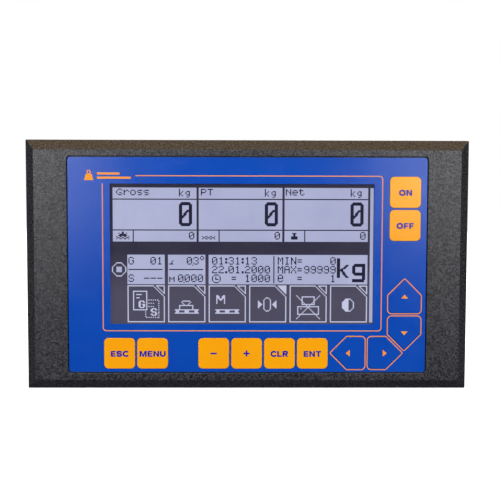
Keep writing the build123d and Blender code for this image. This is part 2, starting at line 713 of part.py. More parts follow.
def socket_insulator(x):
    """Plastic body that carries the pins."""
    body = disc(SOCKET_BORE - FIT, MAIN_BOARD_BACK, INSULATOR_BACK, x, SOCKET_Z)
    for pin_x, pin_z in pin_places(x):
        body -= disc(PIN_RADIUS + FIT, MAIN_BOARD_BACK - CUT, INSULATOR_BACK + CUT, pin_x, pin_z)
    return body


def socket_pins():
    """All pins of the three sockets."""
    places = [place for x in SOCKET_X for place in pin_places(x)]
    front = MAIN_BOARD_FRONT - PIN_TIP
    return group(disc(PIN_RADIUS, front, TOTAL_DEPTH - PIN_RECESS, x, z) for x, z in places)


def socket_seal(x):
    """Rubber ring under a socket's flange."""
    ring = disc(SOCKET_FLANGE_RADIUS - SEAL_INSET, HOUSING_DEPTH, SEAL_BACK, x, SOCKET_Z)
    return ring - disc(SOCKET_BODY_RADIUS + FIT, HOUSING_DEPTH - CUT, SEAL_BACK + CUT, x, SOCKET_Z)


def socket_nut(x):
    """Hexagon nut that clamps a socket from inside."""
    back = HOUSING_DEPTH - WALL
    front = back - SOCKET_NUT_THICKNESS
    nut = prism(RegularPolygon(SOCKET_NUT_RADIUS, 6), front, back, x, SOCKET_Z)
    return nut - disc(SOCKET_BODY_RADIUS + FIT, front - CUT, back + CUT, x, SOCKET_Z)


def vent_plug():
    """Plug with a breathing membrane under its slotted head."""
    head_back = HOUSING_DEPTH + VENT_HEIGHT
    plug = disc(VENT_STEM_RADIUS, HOUSING_DEPTH - WALL - VENT_STEM_EXTRA, head_back, VENT_X, VENT_Z)
    plug += disc(VENT_RADIUS, HOUSING_DEPTH, head_back, VENT_X, VENT_Z)
    length = 2 * VENT_RADIUS + CUT
    for width, height in ((length, VENT_SLOT_WIDTH), (VENT_SLOT_WIDTH, length)):
        plug -= slab(width, height, head_back - VENT_SLOT_DEPTH, head_back + CUT, VENT_X, VENT_Z)
    return plug


def rating_plate():
    """Blank plate on the back."""
    back = HOUSING_DEPTH + PLATE_THICKNESS
    return slab(PLATE_WIDTH, PLATE_HEIGHT, HOUSING_DEPTH, back, PLATE_X, PLATE_Z, PLATE_CORNER)


# ---- assembly ------------------------------------------------------------------------------------
def build_nodes():
    """Every node by name."""
    keys = key_table()
    pad_face = HOUSING_DEPTH + PAD_HEIGHT
    nodes = {
        "front_frame": front_frame(),
        "rear_housing": rear_housing(),
        "housing_gasket": housing_gasket(),
        "housing_screws": group(housing_screw(x, z) for x, z in HOUSING_SCREWS),
        "frame_inserts": group(
            threaded_insert(x, z, FRAME_BACK - INSERT_LENGTH) for x, z in HOUSING_SCREWS
        ),
        "keypad_overlay": keypad_overlay(keys),
        "keypad_spacer": keypad_spacer(keys),
        "keypad_circuit": keypad_circuit(),
        "display_window": at_window(WINDOW_WIDTH, WINDOW_HEIGHT, OVERLAY_BACK, RECESS_DEPTH),
        "display_gasket": display_gasket(),
        "display_bezel": display_bezel(),
        "display_glass": display_glass(),
        "display_backlight": display_backlight(),
        "display_board": display_board(),
        "display_screws": group(
            small_screw(x, z, DISPLAY_BOARD_FRONT + BOARD_THICKNESS, 1) for x, z in display_bosses()
        ),
        "main_board": main_board(),
        "board_screws": group(small_screw(x, z, MAIN_BOARD_FRONT, -1) for x, z in BOARD_SCREWS),
        "processor": on_board(*PROCESSOR),
        "adc_shield": on_board(*ADC_SHIELD, SHIELD_CORNER),
        "inclination_sensor": on_board(*INCLINATION_SENSOR),
        "buzzer": buzzer(),
        "battery_holder": battery_holder(),
        "coin_cell": coin_cell(),
        "ribbon_headers": ribbon_headers(),
        "display_cable": display_cable(),
        "supply_capacitors": supply_capacitors(),
        "power_socket": socket_shell(SOCKET_X[0]),
        "load_cell_socket": socket_shell(SOCKET_X[1]),
        "data_socket": socket_shell(SOCKET_X[2]),
        "socket_insulators": group(socket_insulator(x) for x in SOCKET_X),
        "socket_pins": socket_pins(),
        "socket_seals": group(socket_seal(x) for x in SOCKET_X),
        "socket_nuts": group(socket_nut(x) for x in SOCKET_X),
        "vent_plug": vent_plug(),
        "bracket_inserts": group(
            threaded_insert(x, z, pad_face - INSERT_LENGTH) for x, z in bracket_holes()
        ),
        "rating_plate": rating_plate(),
    }
    for name, key in keys.items():
        nodes[f"key_{name}"] = key_pad(key)
        nodes[f"dome_{name}"] = snap_dome(key)
    return nodes


def main():
    os.makedirs("parts", exist_ok=True)
    for name, shape in build_nodes().items():
        export_step(shape, f"parts/{name}.step")


main()
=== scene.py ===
import json
import math

import bmesh
import bpy
from mathutils import Matrix, Vector


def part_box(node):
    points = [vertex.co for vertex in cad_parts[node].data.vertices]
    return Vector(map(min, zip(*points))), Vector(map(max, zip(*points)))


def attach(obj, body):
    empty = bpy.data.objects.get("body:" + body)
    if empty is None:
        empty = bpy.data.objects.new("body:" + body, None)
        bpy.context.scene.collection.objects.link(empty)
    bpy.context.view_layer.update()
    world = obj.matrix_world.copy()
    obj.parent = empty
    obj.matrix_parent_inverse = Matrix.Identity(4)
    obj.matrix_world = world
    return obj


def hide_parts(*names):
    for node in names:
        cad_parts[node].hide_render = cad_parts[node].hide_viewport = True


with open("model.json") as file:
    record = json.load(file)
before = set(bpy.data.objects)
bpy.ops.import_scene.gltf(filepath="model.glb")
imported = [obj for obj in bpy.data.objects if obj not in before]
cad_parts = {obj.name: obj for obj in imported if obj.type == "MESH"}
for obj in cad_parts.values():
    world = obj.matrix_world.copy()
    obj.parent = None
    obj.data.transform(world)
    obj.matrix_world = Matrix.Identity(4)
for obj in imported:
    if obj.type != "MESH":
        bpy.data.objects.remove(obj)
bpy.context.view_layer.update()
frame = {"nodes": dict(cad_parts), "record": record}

# Weighing terminal. Metres, in the frame of the CAD model: X to the right, Y to the back, Z up.
# Places on the front are given in millimetres from the middle of the front face: x, z and a depth.
MM = 0.001
FRAME_LOW, FRAME_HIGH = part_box("front_frame")
FACE_Y = FRAME_LOW.y
FACE_Z = (FRAME_LOW.z + FRAME_HIGH.z) / 2
TERMINAL = "terminal"


def at(x, z, depth):
    """Point of the model from millimetres on the front face."""
    return Vector((x * MM, FACE_Y + depth * MM, FACE_Z + z * MM))


def on_face(point):
    """Millimetres on the front face from a point of the model."""
    return point.x / MM, (point.z - FACE_Z) / MM, (point.y - FACE_Y) / MM


def srgb(red, green, blue):
    """Linear colour from eight-bit display values."""
    def linear(value):
        value = value / 255
        return value / 12.92 if value <= 0.04045 else ((value + 0.055) / 1.055) ** 2.4
    return (linear(red), linear(green), linear(blue), 1.0)


# ---- camera and light ----------------------------------------------------------------------------
CAMERA_PLACE = (-5.08, -481.60, 41.47)          # millimetres from the middle of the front face
CAMERA_TURN = (85.994, -0.155, -0.727)          # degrees
CAMERA_LENS = 72.0
SENSOR_WIDTH = 36.0
SOFT_BOX_PLACE = (0.42, -0.75, 0.42)            # metres from the middle of the front face
SOFT_BOX_SIZE = (0.5, 0.9)
SOFT_BOX_POWER = 6.2
SOFT_BOX_COLOUR = (1.0, 0.995, 0.99)
TOP_CARD_PLACE = (0.0, 0.1, 0.6)
TOP_CARD_SIZE = (1.2, 0.45)
TOP_CARD_POWER = 1.9
TOP_CARD_COLOUR = (1.0, 0.62, 0.2)
REAR_FILL_PLACE = (0.3, 1.3, 0.6)
REAR_FILL_SIZE = (1.2, 0.9)
REAR_FILL_POWER = 12.0
REAR_FILL_COLOUR = (1.0, 1.0, 1.0)
ROOM_COLOUR = (0.9, 0.93, 1.0, 1.0)
ROOM_STRENGTH = 0.1
FLOOR_SIZE = 6.0
FLOOR_CELLS = 8


def add_camera():
    """Camera at the distance and turn of the picture that the terminal is known from."""
    data = bpy.data.cameras.new("camera")
    data.lens = CAMERA_LENS
    data.sensor_width = SENSOR_WIDTH
    data.clip_start = 0.01
    camera = bpy.data.objects.new("camera", data)
    bpy.context.scene.collection.objects.link(camera)
    x, y, z = CAMERA_PLACE
    camera.location = (x * MM, FACE_Y + y * MM, FACE_Z + z * MM)
    camera.rotation_euler = [math.radians(angle) for angle in CAMERA_TURN]
    bpy.context.scene.camera = camera


def add_light(name, place, target, size, power, colour):
    """Rectangular soft box that faces a target."""
    data = bpy.data.lights.new(name, "AREA")
    data.shape = "RECTANGLE"
    data.size, data.size_y = size
    data.energy = power
    data.color = colour
    light = bpy.data.objects.new(name, data)
    bpy.context.scene.collection.objects.link(light)
    light.location = place
    light.rotation_euler = (target - place).to_track_quat("-Z", "Y").to_euler()
    light.visible_camera = False


def add_lights():
    """Two soft boxes in front on the left and right, a warm card overhead and a fill at the back."""
    middle = Vector((0.0, FACE_Y, FACE_Z))
    across, forward, up = SOFT_BOX_PLACE
    for name, side in (("soft_box_left", -1), ("soft_box_right", 1)):
        place = middle + Vector((side * across, forward, up))
        target = middle + Vector((0.0, 0.0, up))
        add_light(name, place, target, SOFT_BOX_SIZE, SOFT_BOX_POWER, SOFT_BOX_COLOUR)
    place = middle + Vector(TOP_CARD_PLACE)
    add_light("top_card", place, middle, TOP_CARD_SIZE, TOP_CARD_POWER, TOP_CARD_COLOUR)
    place = middle + Vector(REAR_FILL_PLACE)
    add_light("rear_fill", place, middle, REAR_FILL_SIZE, REAR_FILL_POWER, REAR_FILL_COLOUR)


def set_world():
    """White to the camera and a dim grey to the object, as in a studio with flags beside it."""
    world = bpy.data.worlds.new("studio")
    bpy.context.scene.world = world
    world.use_nodes = True
    tree = world.node_tree
    tree.nodes.clear()
    seen = tree.nodes.new("ShaderNodeBackground")
    seen.inputs["Color"].default_value = (1.0, 1.0, 1.0, 1.0)
    lighting = tree.nodes.new("ShaderNodeBackground")
    lighting.inputs["Color"].default_value = ROOM_COLOUR
    lighting.inputs["Strength"].default_value = ROOM_STRENGTH
    path = tree.nodes.new("ShaderNodeLightPath")
    blend = tree.nodes.new("ShaderNodeMixShader")
    output = tree.nodes.new("ShaderNodeOutputWorld")
    tree.links.new(path.outputs["Is Camera Ray"], blend.inputs[0])
    tree.links.new(lighting.outputs[0], blend.inputs[1])
    tree.links.new(seen.outputs[0], blend.inputs[2])
    tree.links.new(blend.outputs[0], output.inputs["Surface"])
    bpy.context.scene.view_settings.view_transform = "Standard"


# ---- materials -----------------------------------------------------------------------------------
class Surface:
    """One procedural material. Sizes are in metres, and patterns follow the object's own space."""

    def __init__(self, name):
        self.material = bpy.data.materials.new(name)
        self.material.use_nodes = True
        self.tree = self.material.node_tree
        self.shader = self.tree.nodes["Principled BSDF"]
        self.place = self.add("ShaderNodeTexCoord").outputs["Object"]

    def add(self, kind, settings=None, inputs=None):
        made = self.tree.nodes.new(kind)
        for key, value in (settings or {}).items():
            setattr(made, key, value)
        for key, value in (inputs or {}).items():
            self.feed(made.inputs[key], value)
        return made

    def feed(self, socket, value):
        if isinstance(value, bpy.types.NodeSocket):
            self.tree.links.new(value, socket)
        else:
            socket.default_value = value

    def set(self, **values):
        """Sets sockets of the shader, whose names are written with underscores."""
        for key, value in values.items():
            self.feed(self.shader.inputs[key.replace("_", " ")], value)
        return self

    def stretched(self, scale):
        return self.add("ShaderNodeMapping", None, {"Vector": self.place, "Scale": scale}).outputs[0]

    def noise(self, size, detail=2.0, roughness=0.5, distortion=0.0, stretch=None):
        place = self.stretched(stretch) if stretch else self.place
        values = {"Vector": place, "Scale": 1 / size, "Detail": detail, "Roughness": roughness}
        values["Distortion"] = distortion
        return self.add("ShaderNodeTexNoise", None, values).outputs["Fac"]

    def math(self, operation, first, second):
        return self.add("ShaderNodeMath", {"operation": operation}, {0: first, 1: second}).outputs[0]

    def scaled(self, value, low, high, to_low=0.0, to_high=1.0):
        values = {"Value": value, "From Min": low, "From Max": high, "To Min": to_low, "To Max": to_high}
        return self.add("ShaderNodeMapRange", {"clamp": True}, values).outputs[0]

    def mix(self, share, first, second):
        made = self.add("ShaderNodeMix", {"data_type": "RGBA"})
        self.feed(made.inputs[0], share)
        self.feed(made.inputs[6], first)
        self.feed(made.inputs[7], second)
        return made.outputs[2]

    def axes(self):
        parts = self.add("ShaderNodeSeparateXYZ", None, {0: self.place})
        return parts.outputs[0], parts.outputs[1], parts.outputs[2]

    def rounded(self, radius):
        """Normal that rounds sharp edges in the shading."""
        return self.add("ShaderNodeBevel", {"samples": 4}, {"Radius": radius}).outputs[0]

    def edge(self, radius, gain):
        """High along edges, zero on flat faces."""
        flat = self.add("ShaderNodeNewGeometry").outputs["Normal"]
        dot = self.add("ShaderNodeVectorMath", {"operation": "DOT_PRODUCT"})
        self.feed(dot.inputs[0], self.rounded(radius))
        self.feed(dot.inputs[1], flat)
        difference = self.math("SUBTRACT", 1.0, dot.outputs["Value"])
        return self.add("ShaderNodeClamp", None, {0: self.math("MULTIPLY", difference, gain)}).outputs[0]

    def bump(self, height, distance, normal=None):
        values = {"Height": height, "Distance": distance, "Strength": 1.0}
        if normal:
            values["Normal"] = normal
        return self.add("ShaderNodeBump", None, values).outputs[0]


def textured_coat():
    """Coarse wrinkled black powder coat, lighter along the edges: partly worn bare, partly a painted
    highlight.
    """
    coat = Surface("black_coat")
    grain = coat.noise(0.0008, 3.0, 0.6, 0.3)
    fine = coat.noise(0.0004, 2.0, 0.6)
    patch = coat.noise(0.045, 2.0)
    speckle = coat.scaled(grain, 0.42, 0.6)
    dark = coat.mix(patch, srgb(12, 12, 14), srgb(17, 17, 19))
    light = coat.mix(patch, srgb(60, 60, 66), srgb(67, 67, 74))
    colour = coat.mix(speckle, dark, light)
    # Edges painted lighter: partly bare wear, partly a painted highlight.
    wear_and_highlight = coat.math("MULTIPLY", coat.edge(0.0006, 3.0), coat.scaled(fine, 0.35, 0.6))
    colour = coat.mix(wear_and_highlight, colour, srgb(104, 105, 112))
    height = coat.math("ADD", grain, coat.math("MULTIPLY", fine, 0.35))
    normal = coat.bump(height, 0.00013, coat.rounded(0.0004))
    rough = coat.scaled(grain, 0.3, 0.7, 0.26, 0.17)
    return coat.set(Base_Color=colour, Roughness=rough, Normal=normal).material


def printed_film(name, colour, shade):
    """Back-printed polyester film with a fine satin texture, rubbed a little in places."""
    film = Surface(name)
    patch = film.noise(0.03, 2.0)
    fine = film.noise(0.00022, 2.0, 0.6)
    tint = film.mix(film.scaled(patch, 0.3, 0.7), shade, colour)
    tint = film.mix(film.scaled(fine, 0.35, 0.65, 0.0, 0.12), tint, shade)
    rub = film.scaled(film.noise(0.012, 4.0, 0.7), 0.3, 0.7, 0.14, 0.24)
    normal = film.bump(fine, 0.000015, film.rounded(0.00015))
    return film.set(Base_Color=tint, Roughness=rub, Normal=normal, Specular_IOR_Level=0.42).material


def ink(name, colour, shade):
    """Screen-printed ink with slightly uneven cover."""
    print_ = Surface(name)
    cover = print_.scaled(print_.noise(0.0006, 3.0, 0.6), 0.3, 0.7)
    print_.set(Base_Color=print_.mix(cover, shade, colour))
    print_.set(Roughness=print_.scaled(cover, 0.0, 1.0, 0.4, 0.3), Specular_IOR_Level=0.3)
    return print_.set(Normal=print_.bump(cover, 0.00001)).material


SMALL_EDGE = 0.0002          # rounding of edges in the shading


def plain(name, dark, light, grain=0.0005, roughness=(0.45, 0.6), bump=0.00003, metallic=0.0,
          stretch=None):
    """Plastic, rubber, film or metal with a grain, tone variation and softened edges that are painted
    lighter: partly wear, partly a painted highlight.
    """
    made = Surface(name)
    fine = made.noise(grain, 3.0, 0.6, 0.0, stretch)
    patch = made.noise(0.02, 2.0)
    tone = made.math("ADD", made.math("MULTIPLY", fine, 0.6), made.math("MULTIPLY", patch, 0.4))
    colour = made.mix(made.scaled(tone, 0.35, 0.65), dark, light)
    # Edges painted lighter: partly wear, partly a painted highlight.
    wear_and_highlight = made.math("MULTIPLY", made.edge(SMALL_EDGE, 2.5), 0.35)
    colour = made.mix(wear_and_highlight, colour, srgb(190, 190, 190) if metallic else light)
    made.set(Base_Color=colour, Metallic=metallic)
    made.set(Roughness=made.scaled(fine, 0.3, 0.7, *roughness))
    return made.set(Normal=made.bump(fine, bump, made.rounded(SMALL_EDGE))).material


def metal(name, dark, light, grain=0.0002, roughness=(0.22, 0.38), stretch=(1.0, 12.0, 1.0)):
    """Metal with a grain that is drawn out in one direction."""
    return plain(name, dark, light, grain, roughness, 0.00001, 1.0, stretch)


def clear_window():
    """Clear hard-coated sheet with faint smears."""
    window = Surface("clear_window")
    smear = window.scaled(window.noise(0.02, 4.0, 0.65, 0.8), 0.35, 0.7)
    window.set(Base_Color=window.mix(smear, srgb(70, 72, 84), srgb(96, 98, 108)))
    window.set(Roughness=window.scaled(smear, 0.0, 1.0, 0.08, 0.2))
    window.set(Alpha=window.scaled(smear, 0.0, 1.0, 0.035, 0.06))
    return window.set(Normal=window.bump(smear, 0.00001)).material


DOT_PITCH = 0.534            # millimetres from dot to dot of the display
DOT_COLUMNS = 240
DOT_ROWS = 128
PICTURE_X = -2.92
PICTURE_Z = 5.11
PICTURE_LEFT = PICTURE_X - DOT_COLUMNS * DOT_PITCH / 2
PICTURE_TOP = PICTURE_Z + DOT_ROWS * DOT_PITCH / 2


def liquid_crystal(name, colour, shade, gap_share, low_leak):
    """Display dots with the fine gaps between them and an uneven backlight that leaks at the bottom."""
    dots = Surface(name)
    x, _, z = dots.axes()
    first = at(PICTURE_LEFT, PICTURE_TOP, 0)
    along = dots.math("DIVIDE", dots.math("SUBTRACT", x, first.x), DOT_PITCH * MM)
    down = dots.math("DIVIDE", dots.math("SUBTRACT", first.z, z), DOT_PITCH * MM)
    nearest = dots.math("MINIMUM", dots.math("PINGPONG", along, 0.5), dots.math("PINGPONG", down, 0.5))
    gap = dots.math("MULTIPLY", dots.math("LESS_THAN", nearest, 0.05), gap_share)
    glow = dots.scaled(dots.noise(0.03, 2.0), 0.3, 0.7)
    tint = dots.mix(glow, shade, colour)
    leak = dots.scaled(down, 60.0, 100.0, 0.0, low_leak)
    tint = dots.mix(leak, tint, srgb(110, 106, 128))
    tint = dots.mix(gap, tint, srgb(60, 56, 84))
    dots.set(Base_Color=dots.mix(0.9, tint, srgb(0, 0, 0)), Emission_Color=tint, Emission_Strength=1.0)
    dots.set(Roughness=dots.scaled(glow, 0.0, 1.0, 0.3, 0.4), Specular_IOR_Level=0.1)
    return dots.material


def circuit_board():
    """Green solder mask over copper tracks."""
    board = Surface("solder_mask")
    x, _, z = board.axes()
    lanes = board.math("PINGPONG", board.math("DIVIDE", x, 0.0012), 0.5)
    streets = board.math("PINGPONG", board.math("DIVIDE", z, 0.0015), 0.5)
    zones = board.math("GREATER_THAN", board.noise(0.012, 0.0), 0.5)
    lines = board.add("ShaderNodeMix", None, {0: zones, 2: lanes, 3: streets}).outputs[0]
    tracks = board.scaled(lines, 0.16, 0.2, 1.0, 0.0)
    tracks = board.math("MULTIPLY", tracks, board.math("GREATER_THAN", board.noise(0.007, 0.0), 0.45))
    fine = board.noise(0.0003, 2.0)
    base = board.mix(board.scaled(fine, 0.3, 0.7), srgb(10, 70, 38), srgb(16, 84, 46))
    colour = board.mix(tracks, base, srgb(38, 120, 66))
    board.set(Base_Color=colour, Roughness=board.scaled(fine, 0.3, 0.7, 0.3, 0.42))
    return board.set(Normal=board.bump(tracks, 0.00003, board.rounded(0.0002))).material


def flat_ribbon():
    """Grey ribbon cable with its separate cores."""
    ribbon = Surface("ribbon_cable")
    x = ribbon.axes()[0]
    core = ribbon.math("PINGPONG", ribbon.math("DIVIDE", x, 0.00127), 0.5)
    fine = ribbon.noise(0.0004)
    base = ribbon.mix(ribbon.scaled(core, 0.0, 0.3), srgb(120, 122, 126), srgb(178, 180, 184))
    ribbon.set(Base_Color=ribbon.mix(ribbon.scaled(fine, 0.3, 0.7, 0.0, 0.2), base, srgb(205, 206, 208)))
    ribbon.set(Roughness=ribbon.scaled(fine, 0.3, 0.7, 0.45, 0.6))
    return ribbon.set(Normal=ribbon.bump(core, 0.0002)).material


def keypad_tracks():
    """Amber film of the keypad with printed silver tracks."""
    film = Surface("keypad_tracks")
    x, _, z = film.axes()
    lane = film.math("PINGPONG", film.math("DIVIDE", film.math("ADD", x, z), 0.002), 0.5)
    tracks = film.scaled(lane, 0.14, 0.18, 1.0, 0.0)
    fine = film.noise(0.0004)
    base = film.mix(fine, srgb(176, 132, 60), srgb(204, 160, 84))
    film.set(Base_Color=film.mix(tracks, base, srgb(160, 160, 158)))
    film.set(Roughness=film.scaled(fine, 0.3, 0.7, 0.35, 0.5))
    return film.set(Normal=film.bump(tracks, 0.00002)).material


BLUE = (srgb(0, 74, 182), srgb(0, 69, 175))
ORANGE = (srgb(255, 172, 2), srgb(255, 164, 1))


def make_materials():
    """A material for every slot of the record."""
    return {
        "housing": textured_coat(),
        "rubber": plain("black_rubber", srgb(20, 20, 21), srgb(34, 34, 36), 0.0004, (0.7, 0.85)),
        "screw_steel": metal("zinc_plate", srgb(132, 134, 140), srgb(176, 178, 182)),
        "brass": metal("turned_brass", srgb(160, 122, 52), srgb(206, 168, 88)),
        "overlay": printed_film("blue_film", *BLUE),
        "spacer_film": plain("spacer_film", srgb(206, 206, 198), srgb(226, 226, 220)),
        "circuit_film": keypad_tracks(),
        "window": clear_window(),
        "sheet_steel": metal("plated_sheet", srgb(120, 122, 126), srgb(158, 160, 164), 0.0004,
                             (0.28, 0.42), (14.0, 1.0, 1.0)),
        "lcd_glass": plain("display_glass", srgb(50, 46, 62), srgb(58, 54, 70), 0.002, (0.3, 0.4)),
        "light_guide": plain("light_guide", srgb(224, 228, 234), srgb(240, 242, 246), 0.001),
        "circuit_board": circuit_board(),
        "black_plastic": plain("black_plastic", srgb(26, 26, 28), srgb(40, 40, 43), 0.0003),
        "cell_steel": metal("cell_steel", srgb(150, 152, 156), srgb(196, 198, 202)),
        "ribbon": flat_ribbon(),
        "capacitor_can": plain("capacitor_sleeve", srgb(24, 26, 44), srgb(40, 44, 70), 0.0006),
        "nickel": metal("nickel_plate", srgb(150, 146, 136), srgb(196, 192, 182), 0.0003, (0.2, 0.34)),
        "vent_plastic": plain("vent_plastic", srgb(30, 31, 33), srgb(48, 49, 52), 0.0004),
        "plate": metal("anodised_plate", srgb(150, 152, 156), srgb(186, 188, 192), 0.0003,
                       (0.36, 0.5), (10.0, 1.0, 1.0)),
        "dome_steel": metal("spring_steel", srgb(150, 152, 156), srgb(190, 192, 196)),
        "key_orange": printed_film("orange_film", *ORANGE),
        "key_blue": printed_film("blue_key_film", *BLUE),
    }


MATERIALS = make_materials()
ORANGE_INK = ink("orange_ink", srgb(255, 160, 20), srgb(246, 150, 16))
BLUE_INK = ink("blue_ink", srgb(2, 34, 160), srgb(0, 30, 150))


def dress_frame():
    """Gives every CAD node the material of its slot."""
    for part in frame["record"]["subparts"]:
        node = frame["nodes"][part["node"]]
        node.data.materials.clear()
        node.data.materials.append(MATERIALS[part["material_slot"]])


# ---- mesh helpers --------------------------------------------------------------------------------
def piece(name, mesh, body, materials):
    """Object from a mesh, riding on a body and its materials."""
    made = bpy.data.objects.new(name, mesh)
    bpy.context.scene.collection.objects.link(made)
    for material in materials:
        mesh.materials.append(material)
    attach(made, body)
    return made


ARC_STEPS = 6


def rounded_path(corners, radii, closed):
    """Points of a line whose corners are arcs. An open line keeps its two ends."""
    points = []
    count = len(corners)
    for index, (corner, radius) in enumerate(zip(corners, radii)):
        here = Vector(corner)
        if not closed and index in (0, count - 1):
            points.append(here)
            continue
        back = (Vector(corners[index - 1]) - here).normalized()
        ahead = (Vector(corners[(index + 1) % count]) - here).normalized()
        half_angle = back.angle(ahead) / 2
        reach = radius / math.tan(half_angle)
        centre = here + (back + ahead).normalized() * radius / math.sin(half_angle)
        start = here + back * reach - centre
        turn = math.pi - 2 * half_angle
        side = 1 if back.x * ahead.y - back.y * ahead.x < 0 else -1
        for step in range(ARC_STEPS + 1):
            angle = side * turn * step / ARC_STEPS
            points.append(centre + Matrix.Rotation(angle, 2) @ start)
    return points


def offset_line(points, distance, closed):
    """Line beside another at a distance, mitred at its corners."""
    count = len(points)
    beside = []
    for index, point in enumerate(points):
        before = points[index - 1] if closed or index else None
        after = points[(index + 1) % count] if closed or index < count - 1 else None
        steps = [
            (point - before).normalized() if before else None,
            (after - point).normalized() if after else None,
        ]
        normals = [Vector((-step.y, step.x)) for step in steps if step]
        middle = sum(normals, Vector((0, 0))).normalized()
        beside.append(point + middle * distance / middle.dot(normals[0]))
    return beside


def close_solid(bm, outline, front, back):
    """Closed plate between two depths from a face outline in millimetres."""
    rims = [[bm.verts.new(at(x, z, depth)) for x, z in outline] for depth in (front, back)]
    bm.faces.new(rims[0])
    bm.faces.new(rims[1][::-1])
    count = len(outline)
    for index in range(count):
        after = (index + 1) % count
        bm.faces.new((rims[0][index], rims[1][index], rims[1][after], rims[0][after]))


def add_line(bm, points, width, front, back, closed):
    """Printed line of one width with a little thickness, as a closed solid."""
    sides = [offset_line(points, offset, closed) for offset in (width / 2, -width / 2)]
    count = len(points)
    rings = []
    for index in range(count):
        corners = [(sides[0][index], front), (sides[1][index], front)]
        corners += [(sides[1][index], back), (sides[0][index], back)]
        rings.append([bm.verts.new(at(point.x, point.y, depth)) for point, depth in corners])
    for index in range(count if closed else count - 1):
        ring, after = rings[index], rings[(index + 1) % count]
        for corner in range(4):
            following = (corner + 1) % 4
            bm.faces.new((ring[corner], ring[following], after[following], after[corner]))
    if not closed:
        bm.faces.new(rings[0][::-1])
        bm.faces.new(rings[-1])


def finished_mesh(bm, name):
    """Mesh with its faces turned outwards."""
    bmesh.ops.recalc_face_normals(bm, faces=bm.faces)
    mesh = bpy.data.meshes.new(name)
    bm.to_mesh(mesh)
    bm.free()
    return mesh


# ---- print on the overlay ------------------------------------------------------------------------
PRINT_THICKNESS = 0.03
OVERLAY_FRONT = on_face(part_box("keypad_overlay")[0])[2]
PRINT_DEPTHS = (OVERLAY_FRONT - PRINT_THICKNESS, OVERLAY_FRONT)
FRAME_LINE_WIDTH = 0.42
FRAME_LINE_SIDES = (-69.95, 65.0)
FRAME_LINE_LEVELS = (-31.7, 43.4)
FRAME_LINE_CORNER = 1.5
FRAME_LINE_TOP_START = -54.0
FRAME_LINE_LEFT_START = 39.6
SIGN_PLACE = (-78.6, 41.2)   # lower left corner of the weight pictogram
WEIGHT_WIDTH = 4.4
WEIGHT_HEIGHT = 3.0
WEIGHT_TAPER = 0.7           # how much narrower its top is at each side
KNOB_HEIGHT = 3.9
KNOB_RADIUS = 0.8
KNOB_WIDTH = 0.45
KNOB_SIDES = 16
BAR_START = 6.2
BAR_WIDTH = 1.0
BARS = ((22.4, 1.2), (17.0, 3.2))               # end and height of each bar
ARROW_LINE_WIDTH = 0.42
ARROW_INSET = 0.4            # from the printed outline to the pad
ARROW_BODY = 9.1             # straight part of the outline
ARROW_CORNERS = (2.0, 2.0, 0.9, 0.7, 0.9)
ARROW_DIRECTIONS = {"up": (0, 1), "left": (-1, 0), "down": (0, -1), "right": (1, 0)}


def print_frame_line():
    """Orange line around the display, open at the top left."""
    left, right = FRAME_LINE_SIDES
    low, high = FRAME_LINE_LEVELS
    corners = [(FRAME_LINE_TOP_START, high), (right, high), (right, low), (left, low)]
    corners.append((left, FRAME_LINE_LEFT_START))
    points = rounded_path(corners, [FRAME_LINE_CORNER] * len(corners), False)
    bm = bmesh.new()
    add_line(bm, points, FRAME_LINE_WIDTH, *PRINT_DEPTHS, False)
    piece("frame_line", finished_mesh(bm, "frame_line"), TERMINAL, [ORANGE_INK])


def print_weight_sign():
    """Plain pictogram of a weight with two bars beside it, in the gap of the frame line."""
    bm = bmesh.new()
    corner = Vector(SIGN_PLACE)
    body = [(0, 0), (WEIGHT_WIDTH, 0), (WEIGHT_WIDTH - WEIGHT_TAPER, WEIGHT_HEIGHT),
            (WEIGHT_TAPER, WEIGHT_HEIGHT)]
    close_solid(bm, [corner + Vector(point) for point in body], *PRINT_DEPTHS)
    centre = corner + Vector((WEIGHT_WIDTH / 2, KNOB_HEIGHT))
    turns = [math.tau * side / KNOB_SIDES for side in range(KNOB_SIDES)]
    knob = [centre + Vector((math.cos(turn), math.sin(turn))) * KNOB_RADIUS for turn in turns]
    add_line(bm, knob, KNOB_WIDTH, *PRINT_DEPTHS, True)
    for end, height in BARS:
        bar = [corner + Vector((BAR_START, height)), corner + Vector((end, height))]
        add_line(bm, bar, BAR_WIDTH, *PRINT_DEPTHS, False)
    piece("weight_sign", finished_mesh(bm, "weight_sign"), TERMINAL, [ORANGE_INK])


def arrow_place(name):
    """Middle of an arrow key's base, its half width and its directions along and across."""
    along = Vector(ARROW_DIRECTIONS[name])
    across = Vector((along.y, -along.x))
    low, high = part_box(f"key_{name}")
    corners = [Vector(on_face(corner)[:2]) for corner in (low, high)]
    middle = (corners[0] + corners[1]) / 2
    half_length = abs((corners[1] - corners[0]).dot(along)) / 2
    half_width = abs((corners[1] - corners[0]).dot(across)) / 2 + ARROW_INSET
    base = middle - along * (half_length + ARROW_INSET)
    return base, half_width, along, across


def print_arrow_outlines():
    """Orange outline around each arrow key."""
    bm = bmesh.new()
    for name in ARROW_DIRECTIONS:
        base, half, along, across = arrow_place(name)
        shape = [(-half, 0), (half, 0), (half, ARROW_BODY), (0, ARROW_BODY + half), (-half, ARROW_BODY)]
        corners = [base + across * x + along * y for x, y in shape]
        points = rounded_path(corners, ARROW_CORNERS, True)
        add_line(bm, points, ARROW_LINE_WIDTH, *PRINT_DEPTHS, True)
    piece("arrow_outlines", finished_mesh(bm, "arrow_outlines"), TERMINAL, [ORANGE_INK])


